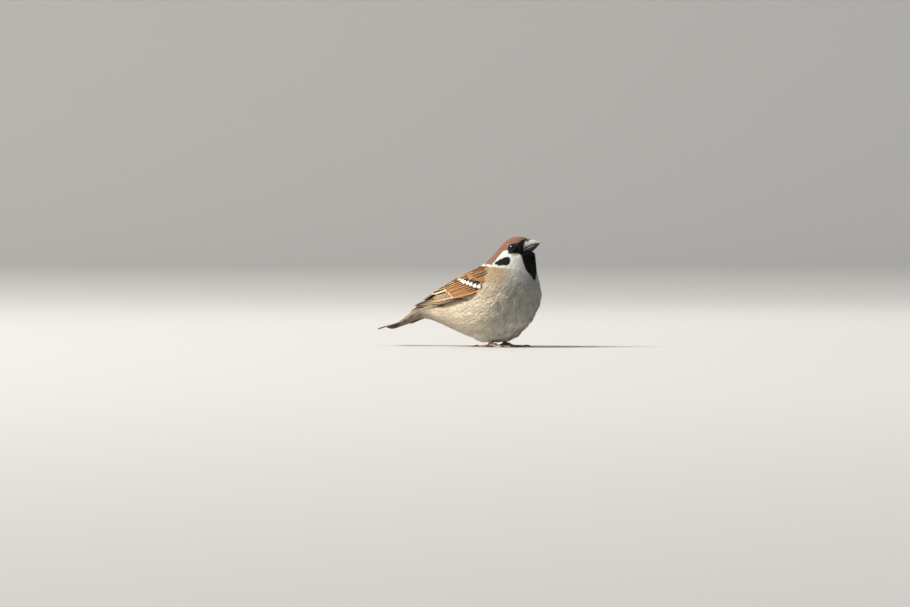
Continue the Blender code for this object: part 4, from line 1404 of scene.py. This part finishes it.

# %% [markdown]
# ## The bill
# The bill is two horny cones that close on a line called the gape, with a nostril pit near the feathers. Copies of
# the solids are remeshed finely and smoothed, so the facets go and the edges stay, and their base is broadened to
# meet the face. The horn is dark slate with a painted highlight on the sides where they face the light. The
# highlight is left off the ridge by the nostril and off the underside, and the gape and the nostril pit are painted
# darker as shade.

# %% The look of horn
def horn_material():
    made, tree, shader = new_material("horn", {"Roughness": 0.42, "Specular IOR Level": 0.28})
    stretched = node(tree, "Mapping", {"Vector": on_object(tree), "Rotation": (0.0, math.radians(22.0), 0.0),
                                       "Scale": (0.25, 1.0, 1.0)}).outputs[0]
    grain = node(tree, "TexNoise", {"Vector": stretched, "Scale": 2600.0, "Detail": 4.0}).outputs["Fac"]
    wire(tree, shader, shaded(tree, painted(tree)[0], ramp(tree, grain, 0.25, 0.75, 0.72, 1.18)), grain, 0.18, 0.0002)
    return made


def paint_solid(item, colours):
    """Paints plain colours, with a full alpha."""
    paint(item, np.concatenate((colours, np.ones((len(colours), 1))), 1))


HORN = horn_material()
print("horn with a grain along the bill")

# %% Bill
GAPE = ((17.6, 65.6), (21.6, 68.2), (26.2, 70.4), (31.5, 71.8))
NOSTRIL = (23.4, 73.1)              # x and z in mm
PIT = 0.45              # mm, the depth of the nostril
BROADER = 0.35          # share by which the base is broadened
# the bill's own dark horn, and the colour of the highlight painted on its sides
DARK_HORN, HORN_HIGHLIGHT = np.array((0.016, 0.016, 0.018)), np.array((0.44, 0.42, 0.385))

for half, other in (("upper", "lower"), ("lower", "upper")):
    horn = melt([copy_of("bill_" + half, 0.14)], "horn_" + half, 0.11, 8)
    points, normals = numbers(horn.data), numbers(horn.data, "normal")
    x, out, z = in_mm(points).T
    above = z - read(GAPE, x)
    points[:, 1] *= 1.0 + BROADER * bill_base(x)
    pit = np.zeros(len(points))
    if half == "upper":
        pit = np.exp(-(((x - NOSTRIL[0]) / 0.45) ** 2 + ((z - NOSTRIL[1]) / 0.24) ** 2) ** 2) * (out > 0.5)
        points -= normals * pit[:, None] * PIT * MM
        # a painted highlight along the upper mandible's sides, stronger towards the tip and dimmed on the ridge by
        # the nostril
        side_light = np.exp(-((above - 2.5) / 1.9) ** 4) * np.clip((out + 0.5) / 1.2, 0.5, 1.0)
        side_light = np.maximum(side_light, np.clip((x - 28.6) / 2.0, 0.0, 0.95))
        side_light *= 1.0 - 0.5 * np.exp(-((x - 23.0) ** 2 + (z - 73.4) ** 2) / 0.7)
    else:
        shut = np.clip((x - 26.5) / 2.0, 0.0, 1.0) * np.clip((above + 0.9) / 0.5, 0.0, 1.0)
        points[:, 2] += 0.13 * MM * shut
        # a narrow painted highlight on the lower mandible just under the gape, stronger towards the base
        side_light = np.exp(-((above + 0.75) / 0.42) ** 2) * np.clip((29.0 - x) / 6.0, 0.0, 0.5)
    move(horn, points)
    # the painted highlight fades where the other half is near, so the gape is painted darker as shade
    side_light *= np.clip((distance_to(("bill_" + other,), points) / MM - 0.22) / 0.35, 0.0, 1.0)
    # the nostril pit is painted darker as shade
    paint_solid(horn, (DARK_HORN + (HORN_HIGHLIGHT - DARK_HORN) * side_light[:, None]) * (1.0 - 0.85 * pit[:, None]))
    horn.data.shade_smooth()
    finish_piece(horn, "horn_" + half, "bill", HORN, "bill_" + half)

# %% [markdown]
# ## Legs, toes and claws
# The bare shank and the toes are covered in scutes, horny plates that overlap towards the toe tips. The copies of
# the solids are melted into one skin over a knuckle, and every plate is raised along its front edge and stepped
# down at its end. The claws are smooth, dark and narrow.

# %% Legs
# x, out and z of the middle, and half sizes, of the knuckle that carries the toes, mm
KNUCKLE, KNUCKLE_HALF = (-0.3, 9.6, 1.7), (2.4, 2.6, 1.5)
TOES = ("hind", "inner", "middle", "outer")


def knuckle_at(sign):
    x, out, z = KNUCKLE
    return place(x, sign * out, z)


def scaly_material():
    made, tree, shader = new_material("scutes", {"Roughness": 0.5, "Specular IOR Level": 0.4,
                                                 "Subsurface Weight": 0.12, "Subsurface Scale": 0.0008})
    beads = node(tree, "TexVoronoi", {"Vector": on_object(tree), "Scale": 2300.0}).outputs["Distance"]
    tone = ramp(tree, beads, 0.1, 0.7, 1.1, 0.72)
    wire(tree, shader, shaded(tree, painted(tree)[0], tone), beads, 0.35, 0.00012, invert=True)
    return made


def make_foot(side, sign, sources):
    """The bare leg and its four toes, melted into one skin over a knuckle."""
    parts = [copy_of(source, 0.08) for source in sources]
    nothing_selected()
    bpy.ops.mesh.primitive_uv_sphere_add(segments=32, ring_count=16, radius=MM, location=knuckle_at(sign))
    knuckle = bpy.context.object
    with editing(knuckle):
        bpy.ops.transform.resize(value=KNUCKLE_HALF)
    freeze()
    return melt(parts + [knuckle], "foot_" + side, 0.15, 8)


# %% Scutes
# length and height of a plate in mm, and where it faces, on the shank and on a toe
SHANK_PLATE, TOE_PLATE = (1.25, 0.18, (1.0, 0.0, 0.35)), (0.95, 0.17, (0.0, 0.0, 1.0))
FOOT_SKIN, SOLE, CLAW_DARK = (0.50, 0.33, 0.27), (0.85, 0.75, 0.65), (0.045, 0.040, 0.038)


def to_ground(item, points):
    """Keeps a foot or a claw from sinking under the ground."""
    points[:, 2] = np.maximum(points[:, 2], 0.0)
    move(item, points)


def add_scutes(foot, sign, sources):
    """Raises overlapping plates along the front of the leg and the tops of the toes."""
    points, normals = numbers(foot.data), numbers(foot.data, "normal")
    owner = np.argmin([distance_to((name,), points) for name in sources], axis=0)
    joint = np.array(knuckle_at(sign)[:])
    clear = np.clip((np.linalg.norm(points - joint, axis=1) / MM - 2.2) / 1.2, 0.0, 1.0)
    crease_shade = np.ones(len(points))
    for k, name in enumerate(sources):
        solid = numbers(nodes[name].data)
        middle = solid.mean(0)
        way = np.linalg.svd(solid - middle, full_matrices=False)[2][0]
        way *= np.sign(way @ (middle - joint))
        pitch, step, away = TOE_PLATE
        if name.startswith("shank"):
            way, (pitch, step, away) = -way, SHANK_PLATE
        own = owner == k
        plate = ((points[own] - middle) @ way / (pitch * MM)) % 1.0
        face = np.clip(normals[own] @ unit(np.array(away)) * 1.6, 0.0, 1.0) * clear[own]
        raised = np.clip(plate / 0.85, 0.0, 1.0) * np.clip((1.0 - plate) / 0.15, 0.0, 1.0)
        points[own] += normals[own] * (face * (raised - 0.5) * step * MM)[:, None]
        # the stepped-down end of each plate is painted darker: painted shade in the crease
        crease_shade[own] = 1.0 - face * np.clip((plate - 0.8) / 0.2, 0.0, 1.0) * 0.45
    to_ground(foot, points)
    colours = np.array(FOOT_SKIN) * crease_shade[:, None]
    colours[normals[:, 2] < -0.4] *= SOLE
    paint_solid(foot, colours)
    foot.data.shade_smooth()


SCUTES = scaly_material()
CLAW = HORN.copy()
CLAW.name = "claw_horn"
for side, sign in SIDES:
    sources = ["shank_" + side] + ["toe_%s_%s" % (name, side) for name in TOES]
    foot = make_foot(side, sign, sources)
    add_scutes(foot, sign, sources)
    finish_piece(foot, "foot_" + side, "feet", SCUTES, *sources)
    for name in TOES:
        claw = "claw_%s_%s" % (name, side)
        nail = melt([copy_of(claw, 0.05)], "nail", 0.07, 5)
        to_ground(nail, numbers(nail.data))
        paint_solid(nail, np.tile(CLAW_DARK, (len(nail.data.vertices), 1)))
        nail.data.shade_smooth()
        finish_piece(nail, "nail_%s_%s" % (name, side), "claws", CLAW, claw)

# %% [markdown]
# ## Removing the outline
# The outline was only a guide for laying the feathers, so it goes. Feathers may stand a little proud of the
# solids, but not more.

# %% Finish
bpy.data.objects.remove(outline)
